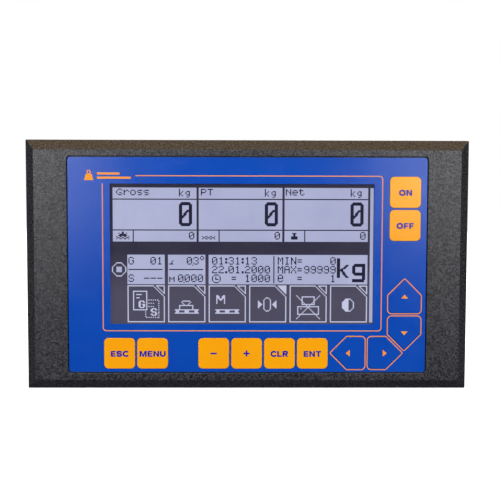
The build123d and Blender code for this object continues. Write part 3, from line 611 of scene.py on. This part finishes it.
# ---- print on the keys ---------------------------------------------------------------------------
KEY_TOP = on_face(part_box("key_on")[0])[2]
KEY_PRINT = (KEY_TOP - PRINT_THICKNESS, KEY_TOP)
TRIANGLE_WIDTH = 3.3
TRIANGLE_HEIGHT = 1.9
TRIANGLE_PLACE = 8.5         # from the arrow's base to the middle of the triangle
LETTER_HEIGHT = 2.85
LETTER_STEM = 0.84           # width of upright strokes
LETTER_BAR = 0.7             # width of level strokes
LETTER_GAP = 0.42
LETTER_END = 0.92            # how far the open ends of C and S reach round
TIGHT_CURVE = 0.5
WIDE_CURVE = 0.95
ROUND_CURVE = 1.0
SHORT_BAR = 0.92             # length of the middle bar of E and F, as a share of the letter
M_POINT = 0.32               # half width of the foot of M's middle
M_STEM_TOP = 1.2             # M's stems at the top, as a share of the stroke
R_LEG = 0.95                 # width of R's leg at its foot
R_LEG_LEFT = 1.6
R_LEG_RIGHT = 0.7
LEGEND_DROP = 0.2            # from the middle of the key
LETTER_WIDTHS = {
    "O": 3.05, "N": 2.8, "F": 2.15, "E": 2.35, "S": 2.6, "C": 2.7, "M": 3.5, "U": 2.75, "L": 2.2,
    "R": 2.75, "T": 2.5,
}
LEGENDS = {"on": "ON", "off": "OFF", "esc": "ESC", "menu": "MENU", "clear": "CLR", "enter": "ENT"}
SIGN_LENGTH = 3.0
SIGN_WIDTH = 0.8


def print_triangles():
    """Small orange triangle on each arrow key."""
    for name in ARROW_DIRECTIONS:
        base, _, along, across = arrow_place(name)
        middle = base + along * TRIANGLE_PLACE
        half_width, half_height = TRIANGLE_WIDTH / 2, TRIANGLE_HEIGHT / 2
        shape = [(-half_width, -half_height), (half_width, -half_height), (0, half_height)]
        bm = bmesh.new()
        close_solid(bm, [middle + across * x + along * y for x, y in shape], *KEY_PRINT)
        mesh = finished_mesh(bm, f"triangle_{name}")
        piece(f"triangle_{name}", mesh, f"{name}_key", [ORANGE_INK])


def key_middle(name):
    """Place of a key's middle on the front face."""
    low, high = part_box(f"key_{name}")
    return on_face((low + high) / 2)[:2]


def letter_plates(letter, width):
    """Straight-sided parts of a letter, as outlines from its lower left corner."""
    tall, stem, bar = LETTER_HEIGHT, LETTER_STEM, LETTER_BAR
    low, high = (tall - bar) / 2, (tall + bar) / 2
    middle, short = width / 2, width * SHORT_BAR
    spine = [(0, 0), (stem, 0), (stem, tall), (0, tall)]
    plates = {
        "N": [[(0, 0), (stem, 0), (stem, tall * 0.62), (width - stem, 0), (width, 0), (width, tall),
               (width - stem, tall), (width - stem, tall * 0.38), (stem, tall), (0, tall)]],
        "M": [[(0, 0), (stem, 0), (stem, tall * 0.6), (middle - M_POINT, 0), (middle + M_POINT, 0),
               (width - stem, tall * 0.6), (width - stem, 0), (width, 0), (width, tall),
               (width - stem * M_STEM_TOP, tall), (middle, tall * 0.36), (stem * M_STEM_TOP, tall),
               (0, tall)]],
        "E": [[(0, 0), (width, 0), (width, bar), (stem, bar), (stem, low), (short, low), (short, high),
               (stem, high), (stem, tall - bar), (width, tall - bar), (width, tall), (0, tall)]],
        "F": [[(0, 0), (stem, 0), (stem, low - 0.1), (short, low - 0.1), (short, high - 0.1),
               (stem, high - 0.1), (stem, tall - bar), (width, tall - bar), (width, tall), (0, tall)]],
        "L": [[(0, 0), (width, 0), (width, bar), (stem, bar), (stem, tall), (0, tall)]],
        "T": [[(middle - stem / 2, 0), (middle + stem / 2, 0), (middle + stem / 2, tall - bar),
               (width, tall - bar), (width, tall), (0, tall), (0, tall - bar),
               (middle - stem / 2, tall - bar)]],
        "R": [spine, [(width - R_LEG, 0), (width, 0), (width - R_LEG_RIGHT, low),
                      (width - R_LEG_LEFT, low)]],
    }
    return plates.get(letter, [])


def letter_lines(letter, width):
    """Curved strokes of a letter as corner points, corner radii and whether the stroke is closed."""
    half = LETTER_BAR / 2
    left, right, low, high = half, width - half, half, LETTER_HEIGHT - half
    middle, bowl = LETTER_HEIGHT / 2, right - 0.1
    tight, wide = TIGHT_CURVE, WIDE_CURVE
    lines = {
        "O": ([(left, low), (right, low), (right, high), (left, high)], [ROUND_CURVE] * 4, True),
        "C": ([(right, LETTER_HEIGHT - LETTER_END), (right, high), (left, high), (left, low),
               (right, low), (right, LETTER_END)], [0, tight, wide, wide, tight, 0], False),
        "S": ([(right, LETTER_HEIGHT - LETTER_END), (right, high), (left, high), (left, middle),
               (right, middle), (right, low), (left, low), (left, LETTER_END)],
              [0] + [tight] * 6 + [0], False),
        "U": ([(left, LETTER_HEIGHT), (left, low), (right, low), (right, LETTER_HEIGHT)],
              [0, wide, wide, 0], False),
        "R": ([(LETTER_STEM, high), (bowl, high), (bowl, middle), (LETTER_STEM, middle)],
              [0, tight, tight, 0], False),
    }
    return [lines[letter]] if letter in lines else []


def print_legends():
    """Bold extended lettering on the square keys."""
    for name, word in LEGENDS.items():
        key_x, key_z = key_middle(name)
        total = sum(LETTER_WIDTHS[letter] for letter in word) + LETTER_GAP * (len(word) - 1)
        start = Vector((key_x - total / 2, key_z - LETTER_HEIGHT / 2 - LEGEND_DROP))
        bm = bmesh.new()
        for letter in word:
            width = LETTER_WIDTHS[letter]
            for outline in letter_plates(letter, width):
                close_solid(bm, [start + Vector(point) for point in outline], *KEY_PRINT)
            for corners, radii, closed in letter_lines(letter, width):
                points = rounded_path([start + Vector(corner) for corner in corners], radii, closed)
                add_line(bm, points, LETTER_STEM, *KEY_PRINT, closed)
            start.x += width + LETTER_GAP
        mesh = finished_mesh(bm, f"legend_{name}")
        piece(f"legend_{name}", mesh, f"{name}_key", [BLUE_INK])


def print_signs():
    """Minus and plus signs."""
    long, thin = SIGN_LENGTH / 2, SIGN_WIDTH / 2
    shapes = {
        "minus": [(-long, -thin), (long, -thin), (long, thin), (-long, thin)],
        "plus": [
            (-long, -thin), (-thin, -thin), (-thin, -long), (thin, -long), (thin, -thin), (long, -thin),
            (long, thin), (thin, thin), (thin, long), (-thin, long), (-thin, thin), (-long, thin),
        ],
    }
    for name, shape in shapes.items():
        key_x, key_z = key_middle(name)
        bm = bmesh.new()
        close_solid(bm, [(key_x + x, key_z + z) for x, z in shape], *KEY_PRINT)
        mesh = finished_mesh(bm, f"legend_{name}")
        piece(f"legend_{name}", mesh, f"{name}_key", [BLUE_INK])


# ---- picture on the display ----------------------------------------------------------------------
# Letters of the display as rows of dots from the top down.
BOLD_GLYPHS = {
    "G": ".####. ##..## ##.... ##.### ##..## ##..## .####.",
    "S": ".####. ##..## ##.... .####. ....## ##..## .####.",
}
HEADER_GLYPHS = {
    "G": "..###. .#...# #..... #..##. .#...# ..###.",
    "N": "#...# ##..# #.#.# #..## #...# #...#",
    "P": "####. #...# #...# ####. #.... #....",
    "T": "##### ..#.. ..#.. ..#.. ..#.. ..#..",
    "e": "..... .###. #...# ##### #.... .###.",
    "g": ".... .... .### #..# #..# .### ...# .##.",
    "k": "#.... #.... #..#. #.#.. ##... #.#.. #..#.",
    "o": "..... .###. #...# #...# #...# .###.",
    "r": "..... #.##. ##..# #.... #.... #....",
    "s": "..... .#### #.... .###. ....# .###.",
    "t": ".#... ####. .#... .#... .#..# ..##.",
}
GLYPHS = {
    "0": ".###. #...# #..## #.#.# ##..# #...# .###.",
    "1": "..#.. .##.. ..#.. ..#.. ..#.. ..#.. .###.",
    "2": ".###. #...# ....# ..##. .#... #.... #####",
    "3": ".###. #...# ....# ..##. ....# #...# .###.",
    "9": ".###. #...# #...# .#### ....# #...# .###.",
    "A": ".###. #...# #...# ##### #...# #...# #...#",
    "G": ".###. #...# #.... #..## #...# #...# .###.",
    "I": ".###. ..#.. ..#.. ..#.. ..#.. ..#.. .###.",
    "M": "#...# ##.## #.#.# #.#.# #...# #...# #...#",
    "N": "#...# ##..# ##..# #.#.# #..## #..## #...#",
    "S": ".###. #...# #.... .###. ....# #...# .###.",
    "X": "#...# #...# .#.#. ..#.. .#.#. #...# #...#",
    "m": "#...# ##.## #.#.# #...# #...#",
    "E": ".###. #...# #...# ##### #.... #...# .###.",
    "-": "..... ..... ..... ##### ..... ..... .....",
    "=": "..... ..... ####. ..... ####. ..... .....",
    ":": "..... ##... ##... ..... ##... ##... .....",
    ".": "..... ..... ..... ..... ..... ##... ##...",
}
NARROW_SIGNS = ":."
NARROW_ADVANCE = 3
DIM, LIGHT, INK, BRIGHT = range(4)


class Picture:
    """Grid of display dots: dim background, light field, dark ink on a field, bright line."""

    def __init__(self):
        self.dots = [[DIM] * DOT_COLUMNS for _ in range(DOT_ROWS)]

    def dot(self, column, row, value=INK):
        self.dots[row][column] = value

    def fill(self, left, top, right, bottom, value=INK):
        for row in range(top, bottom + 1):
            for column in range(left, right + 1):
                self.dot(column, row, value)

    def frame(self, left, top, right, bottom, value):
        self.fill(left, top, right, top, value)
        self.fill(left, bottom, right, bottom, value)
        self.fill(left, top, left, bottom, value)
        self.fill(right, top, right, bottom, value)

    def line(self, start, end, value=INK, width=1):
        steps = max(abs(end[0] - start[0]), abs(end[1] - start[1]), 1)
        for step in range(steps + 1):
            column = round(start[0] + (end[0] - start[0]) * step / steps)
            row = round(start[1] + (end[1] - start[1]) * step / steps)
            for extra in range(width):
                self.dot(column + extra, row, value)

    def ring(self, left, top, right, bottom, stroke, cut, value=INK):
        """Outline of a box with cut corners."""
        def inside(column, row, inset, corner):
            across = min(column - left, right - column) - inset
            down = min(row - top, bottom - row) - inset
            return across >= 0 and down >= 0 and across + down >= corner

        for row in range(top, bottom + 1):
            for column in range(left, right + 1):
                hollow = inside(column, row, stroke, max(cut - stroke, 0))
                if inside(column, row, 0, cut) and not hollow:
                    self.dot(column, row, value)

    def text(self, column, row, words, value=INK, glyphs=GLYPHS):
        for letter in words:
            lines = glyphs[letter].split()
            for down, line in enumerate(lines):
                for across, mark in enumerate(line):
                    if mark == "#":
                        self.dot(column + across, row + down, value)
            column += NARROW_ADVANCE if letter in NARROW_SIGNS else len(lines[0]) + 1

    def crosses(self, left, top, count):
        """Row of small crosses, three dots tall."""
        for index in range(count):
            start = left + 4 * index
            for row in (top, top + 2):
                self.dot(start, row)
                self.dot(start + 3, row)
            self.fill(start + 1, top + 1, start + 2, top + 1)


# Places on the display are columns and rows of its dots, counted from its upper left corner.
BOX_PITCH = 78
BOX_LEFT = 3
BOX_TOP = 3
BOX_RIGHT = 75               # last column and last row of a box, counted from its own corner
BOX_BOTTOM = 48
BOX_LABELS = (("Gross", 3), ("PT", 2), ("Net", 1))
HEADER_LINE = 10
FOOTER_LINE = 38
SIGN_CELL = 18
UNIT_LEFT = 60


def draw_weights(picture):
    """Three boxes along the top with a large slashed zero in each."""
    for index, (label, indent) in enumerate(BOX_LABELS):
        left = BOX_LEFT + index * BOX_PITCH
        right, bottom = left + BOX_RIGHT, BOX_TOP + BOX_BOTTOM
        picture.fill(left, BOX_TOP, right, bottom, LIGHT)
        for line in (HEADER_LINE, FOOTER_LINE):
            picture.fill(left, BOX_TOP + line, right, BOX_TOP + line)
        picture.fill(left + SIGN_CELL, BOX_TOP + FOOTER_LINE, left + SIGN_CELL, bottom)
        picture.text(left + indent, BOX_TOP + 1, label, glyphs=HEADER_GLYPHS)
        picture.text(left + UNIT_LEFT, BOX_TOP + 1, "kg", glyphs=HEADER_GLYPHS)
        picture.ring(left + UNIT_LEFT, 16, left + UNIT_LEFT + 11, 37, 3, 2)
        picture.line((left + 61, 30), (left + 67, 23), INK, 3)
        picture.text(left + 69, 43, "0")
    for left in (6, 84):
        picture.crosses(left, 47, 3)
    picture.crosses(8, 44, 2)
    picture.fill(11, 43, 12, 46)
    picture.fill(9, 46, 14, 46)
    for row, inset in ((44, 1), (45, 2), (46, 2), (47, 0), (48, 0), (49, 0)):
        picture.fill(165 + inset, row, 170 - inset, row)


INFORMATION_TOP = 64
INFORMATION_BOTTOM = 90
INFORMATION_BOXES = ((16, 49), (53, 86), (90, 234))
TEXT_ROWS = (66, 74, 82)
SHORT_RULES = ((17, 47), (54, 84))
RULE_ROW = 77
INFORMATION_TEXTS = (
    ((17, "G"), (37, "01"), (70, "0"), (76, "3"), (93, "01:31:13"), (153, "MIN="), (201, "0")),
    ((93, "22.01.2000"), (153, "MAX=99999")),
    ((17, "S"), (31, "---"), (62, "0000"), (111, "="), (123, "1000"), (153, "E"), (171, "="), (201, "1")),
)


def draw_information(picture):
    """Row of small boxes with scale facts."""
    picture.ring(2, 71, 14, 83, 1, 4, BRIGHT)
    picture.fill(6, 75, 10, 79, LIGHT)
    for left, right in INFORMATION_BOXES:
        picture.fill(left, INFORMATION_TOP, right, INFORMATION_BOTTOM, LIGHT)
    for left, right in SHORT_RULES:
        picture.fill(left, RULE_ROW, right, RULE_ROW)
    for row, texts in zip(TEXT_ROWS, INFORMATION_TEXTS):
        for column, words in texts:
            picture.text(column, row, words)
    picture.text(54, 84, "m")
    picture.dot(67, 89)
    picture.fill(149, INFORMATION_TOP + 1, 149, INFORMATION_BOTTOM - 1)
    draw_angle(picture)
    draw_clock(picture)
    draw_unit(picture)


def draw_angle(picture):
    """Angle sign, decimal point and degree sign around the reading of the inclination."""
    picture.line((57, 69), (55, 72))
    picture.fill(54, 72, 57, 72)
    picture.dot(75, 73)
    picture.ring(82, 65, 85, 68, 1, 1)


def draw_clock(picture):
    """Small round clock."""
    picture.ring(93, 82, 100, 89, 1, 2)
    picture.fill(96, 84, 96, 86)
    picture.fill(97, 86, 98, 86)


def draw_unit(picture):
    """Large kilogram sign."""
    picture.fill(207, 67, 209, 84)
    picture.line((215, 73), (209, 78), INK, 3)
    picture.line((210, 78), (215, 84), INK, 3)
    picture.ring(221, 72, 232, 82, 3, 2)
    picture.fill(230, 72, 232, 86)
    picture.fill(221, 86, 231, 88)


SOFT_KEYS = 6
SOFT_KEY_PITCH = 37
SOFT_KEY_LEFT = 16
SOFT_KEY_TOP = 92
SOFT_KEY_SIDE = 33
FLAP_START = 26              # where the cut-off corner begins
FLAP_SIDE = 7
SOFT_KEY_OUTLINE = [(0, 0), (23, 0), (SOFT_KEY_SIDE, 10), (SOFT_KEY_SIDE, SOFT_KEY_SIDE),
                    (0, SOFT_KEY_SIDE), (0, 0)]
SOFT_KEY_FLAP = [(FLAP_START, 0), (SOFT_KEY_SIDE, 0), (SOFT_KEY_SIDE, FLAP_SIDE), (FLAP_START, 0)]
MARKED_SOFT_KEY = 3


def draw_soft_keys(picture):
    """Row of six dark keys with a cut corner and a sign in each."""
    top = SOFT_KEY_TOP
    for index in range(SOFT_KEYS):
        left = SOFT_KEY_LEFT + index * SOFT_KEY_PITCH
        for shape in (SOFT_KEY_OUTLINE, SOFT_KEY_FLAP):
            corners = [(left + across, top + down) for across, down in shape]
            for start, end in zip(corners, corners[1:]):
                picture.line(start, end, BRIGHT)
        if index == MARKED_SOFT_KEY:
            for step in range(FLAP_SIDE + 1):
                picture.fill(left + FLAP_START + step, top + step, left + SOFT_KEY_SIDE, top + step, BRIGHT)
    draw_documents(picture)
    draw_tare_weight(picture)
    draw_memory(picture)
    draw_zero(picture)
    draw_printer(picture)
    draw_contrast(picture)


def draw_documents(picture):
    """Sheet of paper with a dotted copy behind it."""
    picture.frame(21, 97, 33, 114, BRIGHT)
    for row, end in ((100, 28), (103, 26)):
        picture.fill(24, row, end, row, BRIGHT)
    picture.text(26, 106, "G", BRIGHT, BOLD_GLYPHS)
    for step in range(0, 12, 2):
        picture.dot(33 + step, 105, BRIGHT)
        picture.dot(33 + step, 121, BRIGHT)
        picture.dot(44, 106 + step, BRIGHT)
    for step in range(0, 6, 2):
        picture.dot(44, 117 + step, BRIGHT)
        picture.dot(32, 116 + step, BRIGHT)
        picture.dot(35 + step, 108, BRIGHT)
        picture.dot(35 + step, 111, BRIGHT)
    picture.text(37, 113, "S", BRIGHT, BOLD_GLYPHS)


def draw_base(picture, left):
    """Weighing platform with two slots."""
    picture.fill(left, 114, left + 21, 114, BRIGHT)
    picture.fill(left + 1, 115, left + 20, 116, BRIGHT)
    picture.fill(left, 117, left + 21, 117, BRIGHT)
    for start in (4, 13):
        picture.fill(left + start, 115, left + start + 4, 116, DIM)


def draw_tare_weight(picture):
    """Weight on the platform."""
    picture.fill(66, 106, 72, 106, BRIGHT)
    for row, inset in ((107, 0), (108, 1), (109, 2)):
        picture.dot(65 + inset, row, BRIGHT)
        picture.dot(73 - inset, row, BRIGHT)
    picture.frame(63, 110, 75, 114, BRIGHT)
    draw_base(picture, 59)


def draw_memory(picture):
    """Letter above the platform."""
    for column in (97, 104):
        picture.fill(column, 101, column, 108, BRIGHT)
    picture.line((97, 101), (100, 105), BRIGHT, 2)
    picture.line((103, 101), (100, 105), BRIGHT, 2)
    draw_base(picture, 96)


def draw_zero(picture):
    """Zero between two pointers."""
    picture.ring(140, 103, 146, 115, 1, 2, BRIGHT)
    for step in range(4):
        picture.line((135 + step, 106 + step), (135 + step, 112 - step), BRIGHT)
        picture.line((151 - step, 106 + step), (151 - step, 112 - step), BRIGHT)


def draw_printer(picture):
    """Crossed-out printer."""
    picture.frame(175, 102, 186, 109, BRIGHT)
    picture.frame(171, 111, 190, 118, BRIGHT)
    picture.line((170, 101), (191, 122), BRIGHT)
    picture.line((191, 101), (170, 122), BRIGHT)
    picture.dot(174, 113, BRIGHT)


def draw_contrast(picture):
    """Circle with one half filled."""
    picture.ring(212, 104, 222, 115, 1, 3, BRIGHT)
    for row in range(104, 116):
        for column in range(212, 218):
            if column - 212 + min(row - 104, 115 - row) >= 3:
                picture.dot(column, row, BRIGHT)


STRIP = (237, 3, 239, 125)   # light strip along the right edge of the display
PICTURE_THICKNESS = 0.08


def draw_picture():
    """Everything that the display shows."""
    picture = Picture()
    draw_weights(picture)
    draw_information(picture)
    draw_soft_keys(picture)
    picture.fill(*STRIP, LIGHT)
    return picture


def dot_materials():
    """Materials of the dim, light, ink and bright dots, in the order of their values."""
    return [
        liquid_crystal("dim_dots", srgb(40, 38, 58), srgb(46, 43, 61), 0.1, 0.34),
        liquid_crystal("light_dots", srgb(178, 182, 215), srgb(168, 172, 206), 0.18, 0.0),
        liquid_crystal("ink_dots", srgb(14, 12, 44), srgb(20, 17, 48), 0.1, 0.0),
        liquid_crystal("bright_dots", srgb(200, 202, 230), srgb(190, 193, 222), 0.1, 0.0),
    ]


def make_display():
    """Thin plate in front of the glass with one face for each dot."""
    picture = draw_picture()
    glass_front = on_face(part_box("display_glass")[0])[2]
    depths = (glass_front - PICTURE_THICKNESS, glass_front)
    bm = bmesh.new()

    def corner(column, row, depth):
        x = PICTURE_LEFT + column * DOT_PITCH
        z = PICTURE_TOP - row * DOT_PITCH
        return bm.verts.new(at(x, z, depth))

    front = [
        [corner(column, row, depths[0]) for column in range(DOT_COLUMNS + 1)] for row in range(DOT_ROWS + 1)
    ]
    for row in range(DOT_ROWS):
        for column in range(DOT_COLUMNS):
            face = bm.faces.new((
                front[row][column],
                front[row + 1][column],
                front[row + 1][column + 1],
                front[row][column + 1],
            ))
            face.material_index = picture.dots[row][column]
    rim = [(column, 0) for column in range(DOT_COLUMNS)]
    rim += [(DOT_COLUMNS, row) for row in range(DOT_ROWS)]
    rim += [(column, DOT_ROWS) for column in range(DOT_COLUMNS, 0, -1)]
    rim += [(0, row) for row in range(DOT_ROWS, 0, -1)]
    back = [corner(column, row, depths[1]) for column, row in rim]
    for index, (column, row) in enumerate(rim):
        after = (index + 1) % len(rim)
        next_column, next_row = rim[after]
        bm.faces.new((front[row][column], front[next_row][next_column], back[after], back[index]))
    bm.faces.new(back)
    mesh = finished_mesh(bm, "display_picture")
    piece("display_picture", mesh, TERMINAL, dot_materials())


# ---- sockets on the back -------------------------------------------------------------------------
THREAD_PITCH = 1.0
THREAD_DEPTH = 0.55
THREAD_STEPS = 10            # rings in one turn of the thread
THREAD_FADE = 0.4
THREAD_RADIUS = 6.0
SOCKET_SIDES = 72
SHELL_RADIUS = 7.0
BORE_RADIUS = 4.7
FLANGE_RADIUS = 9.0
FLANGE_PLACE = 11.2          # from the nose's end to the front of the flange
FLANGE_THICKNESS = 1.8
FLANGE_CHAMFER = 0.3
MOUTH_CHAMFER = 0.2
SMOOTH_ANGLE = 35            # degrees


def socket_profile(start, end):
    """Depth, radius and whether there is thread, from a shell's front end along its outside to its mouth."""
    flange_start = end - FLANGE_PLACE
    flange_end = flange_start + FLANGE_THICKNESS
    flange_edge = FLANGE_RADIUS - FLANGE_CHAMFER
    thread_start, thread_end = flange_end + 0.6, end - THREAD_FADE
    outer = [
        (start, BORE_RADIUS),
        (start, SHELL_RADIUS),
        (flange_start, SHELL_RADIUS),
        (flange_start, flange_edge),
        (flange_start + FLANGE_CHAMFER, FLANGE_RADIUS),
        (flange_end - FLANGE_CHAMFER, FLANGE_RADIUS),
        (flange_end, flange_edge),
        (flange_end, THREAD_RADIUS),
    ]
    mouth = [
        (end, THREAD_RADIUS - 0.6),
        (end, BORE_RADIUS + MOUTH_CHAMFER),
        (end - MOUTH_CHAMFER, BORE_RADIUS),
    ]
    length = thread_end - thread_start
    count = round(length / THREAD_PITCH * THREAD_STEPS)
    thread = [(thread_start + length * step / count, THREAD_RADIUS) for step in range(count + 1)]
    profile = [(*point, False) for point in outer] + [(*point, True) for point in thread]
    return profile + [(*point, False) for point in mouth], thread_start, thread_end


def make_socket(node):
    """Nickel plated shell with a turned thread on its nose."""
    low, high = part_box(node)
    centre_x, centre_z, _ = on_face((low + high) / 2)
    profile, thread_start, thread_end = socket_profile(on_face(low)[2], on_face(high)[2])
    bm = bmesh.new()
    rings = []
    for depth, radius, threaded in profile:
        ring = []
        for side in range(SOCKET_SIDES):
            turn = side / SOCKET_SIDES
            groove = abs(((depth - thread_start) / THREAD_PITCH + turn) % 1.0 - 0.5) * 2
            fade = min(1.0, (depth - thread_start) / THREAD_FADE, (thread_end - depth) / THREAD_FADE + 0.2)
            reach = radius - THREAD_DEPTH * groove * max(fade, 0.0) if threaded else radius
            angle = math.tau * turn
            x, z = centre_x + reach * math.cos(angle), centre_z + reach * math.sin(angle)
            ring.append(bm.verts.new(at(x, z, depth)))
        rings.append(ring)
    for index, ring in enumerate(rings):
        after = rings[(index + 1) % len(rings)]
        for side in range(SOCKET_SIDES):
            following = (side + 1) % SOCKET_SIDES
            bm.faces.new((ring[side], ring[following], after[following], after[side]))
    name = f"{node}_shell"
    made = piece(name, finished_mesh(bm, name), TERMINAL, [MATERIALS["nickel"]])
    for polygon in made.data.polygons:
        polygon.use_smooth = len(polygon.vertices) == 4
    made.data.set_sharp_from_angle(angle=math.radians(SMOOTH_ANGLE))
    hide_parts(node)


# ---- floor ---------------------------------------------------------------------------------------
def add_floor():
    """Pale studio floor that doesn't light the object."""
    bm = bmesh.new()
    bmesh.ops.create_grid(bm, x_segments=FLOOR_CELLS, y_segments=FLOOR_CELLS, size=FLOOR_SIZE / 2)
    mesh = finished_mesh(bm, "floor")
    floor = bpy.data.objects.new("floor", mesh)
    bpy.context.scene.collection.objects.link(floor)
    paper = Surface("pale_paper")
    fine = paper.noise(0.002, 2.0)
    tint = paper.mix(fine, srgb(250, 250, 250), srgb(255, 255, 255))
    paper.set(Base_Color=tint, Roughness=0.8, Emission_Color=tint, Emission_Strength=0.96)
    mesh.materials.append(paper.material)
    floor.visible_diffuse = False
    floor.visible_glossy = False


add_camera()
add_lights()
set_world()
dress_frame()
print_frame_line()
print_weight_sign()
print_arrow_outlines()
print_triangles()
print_legends()
print_signs()
make_display()
for socket in ("power_socket", "load_cell_socket", "data_socket"):
    make_socket(socket)
add_floor()
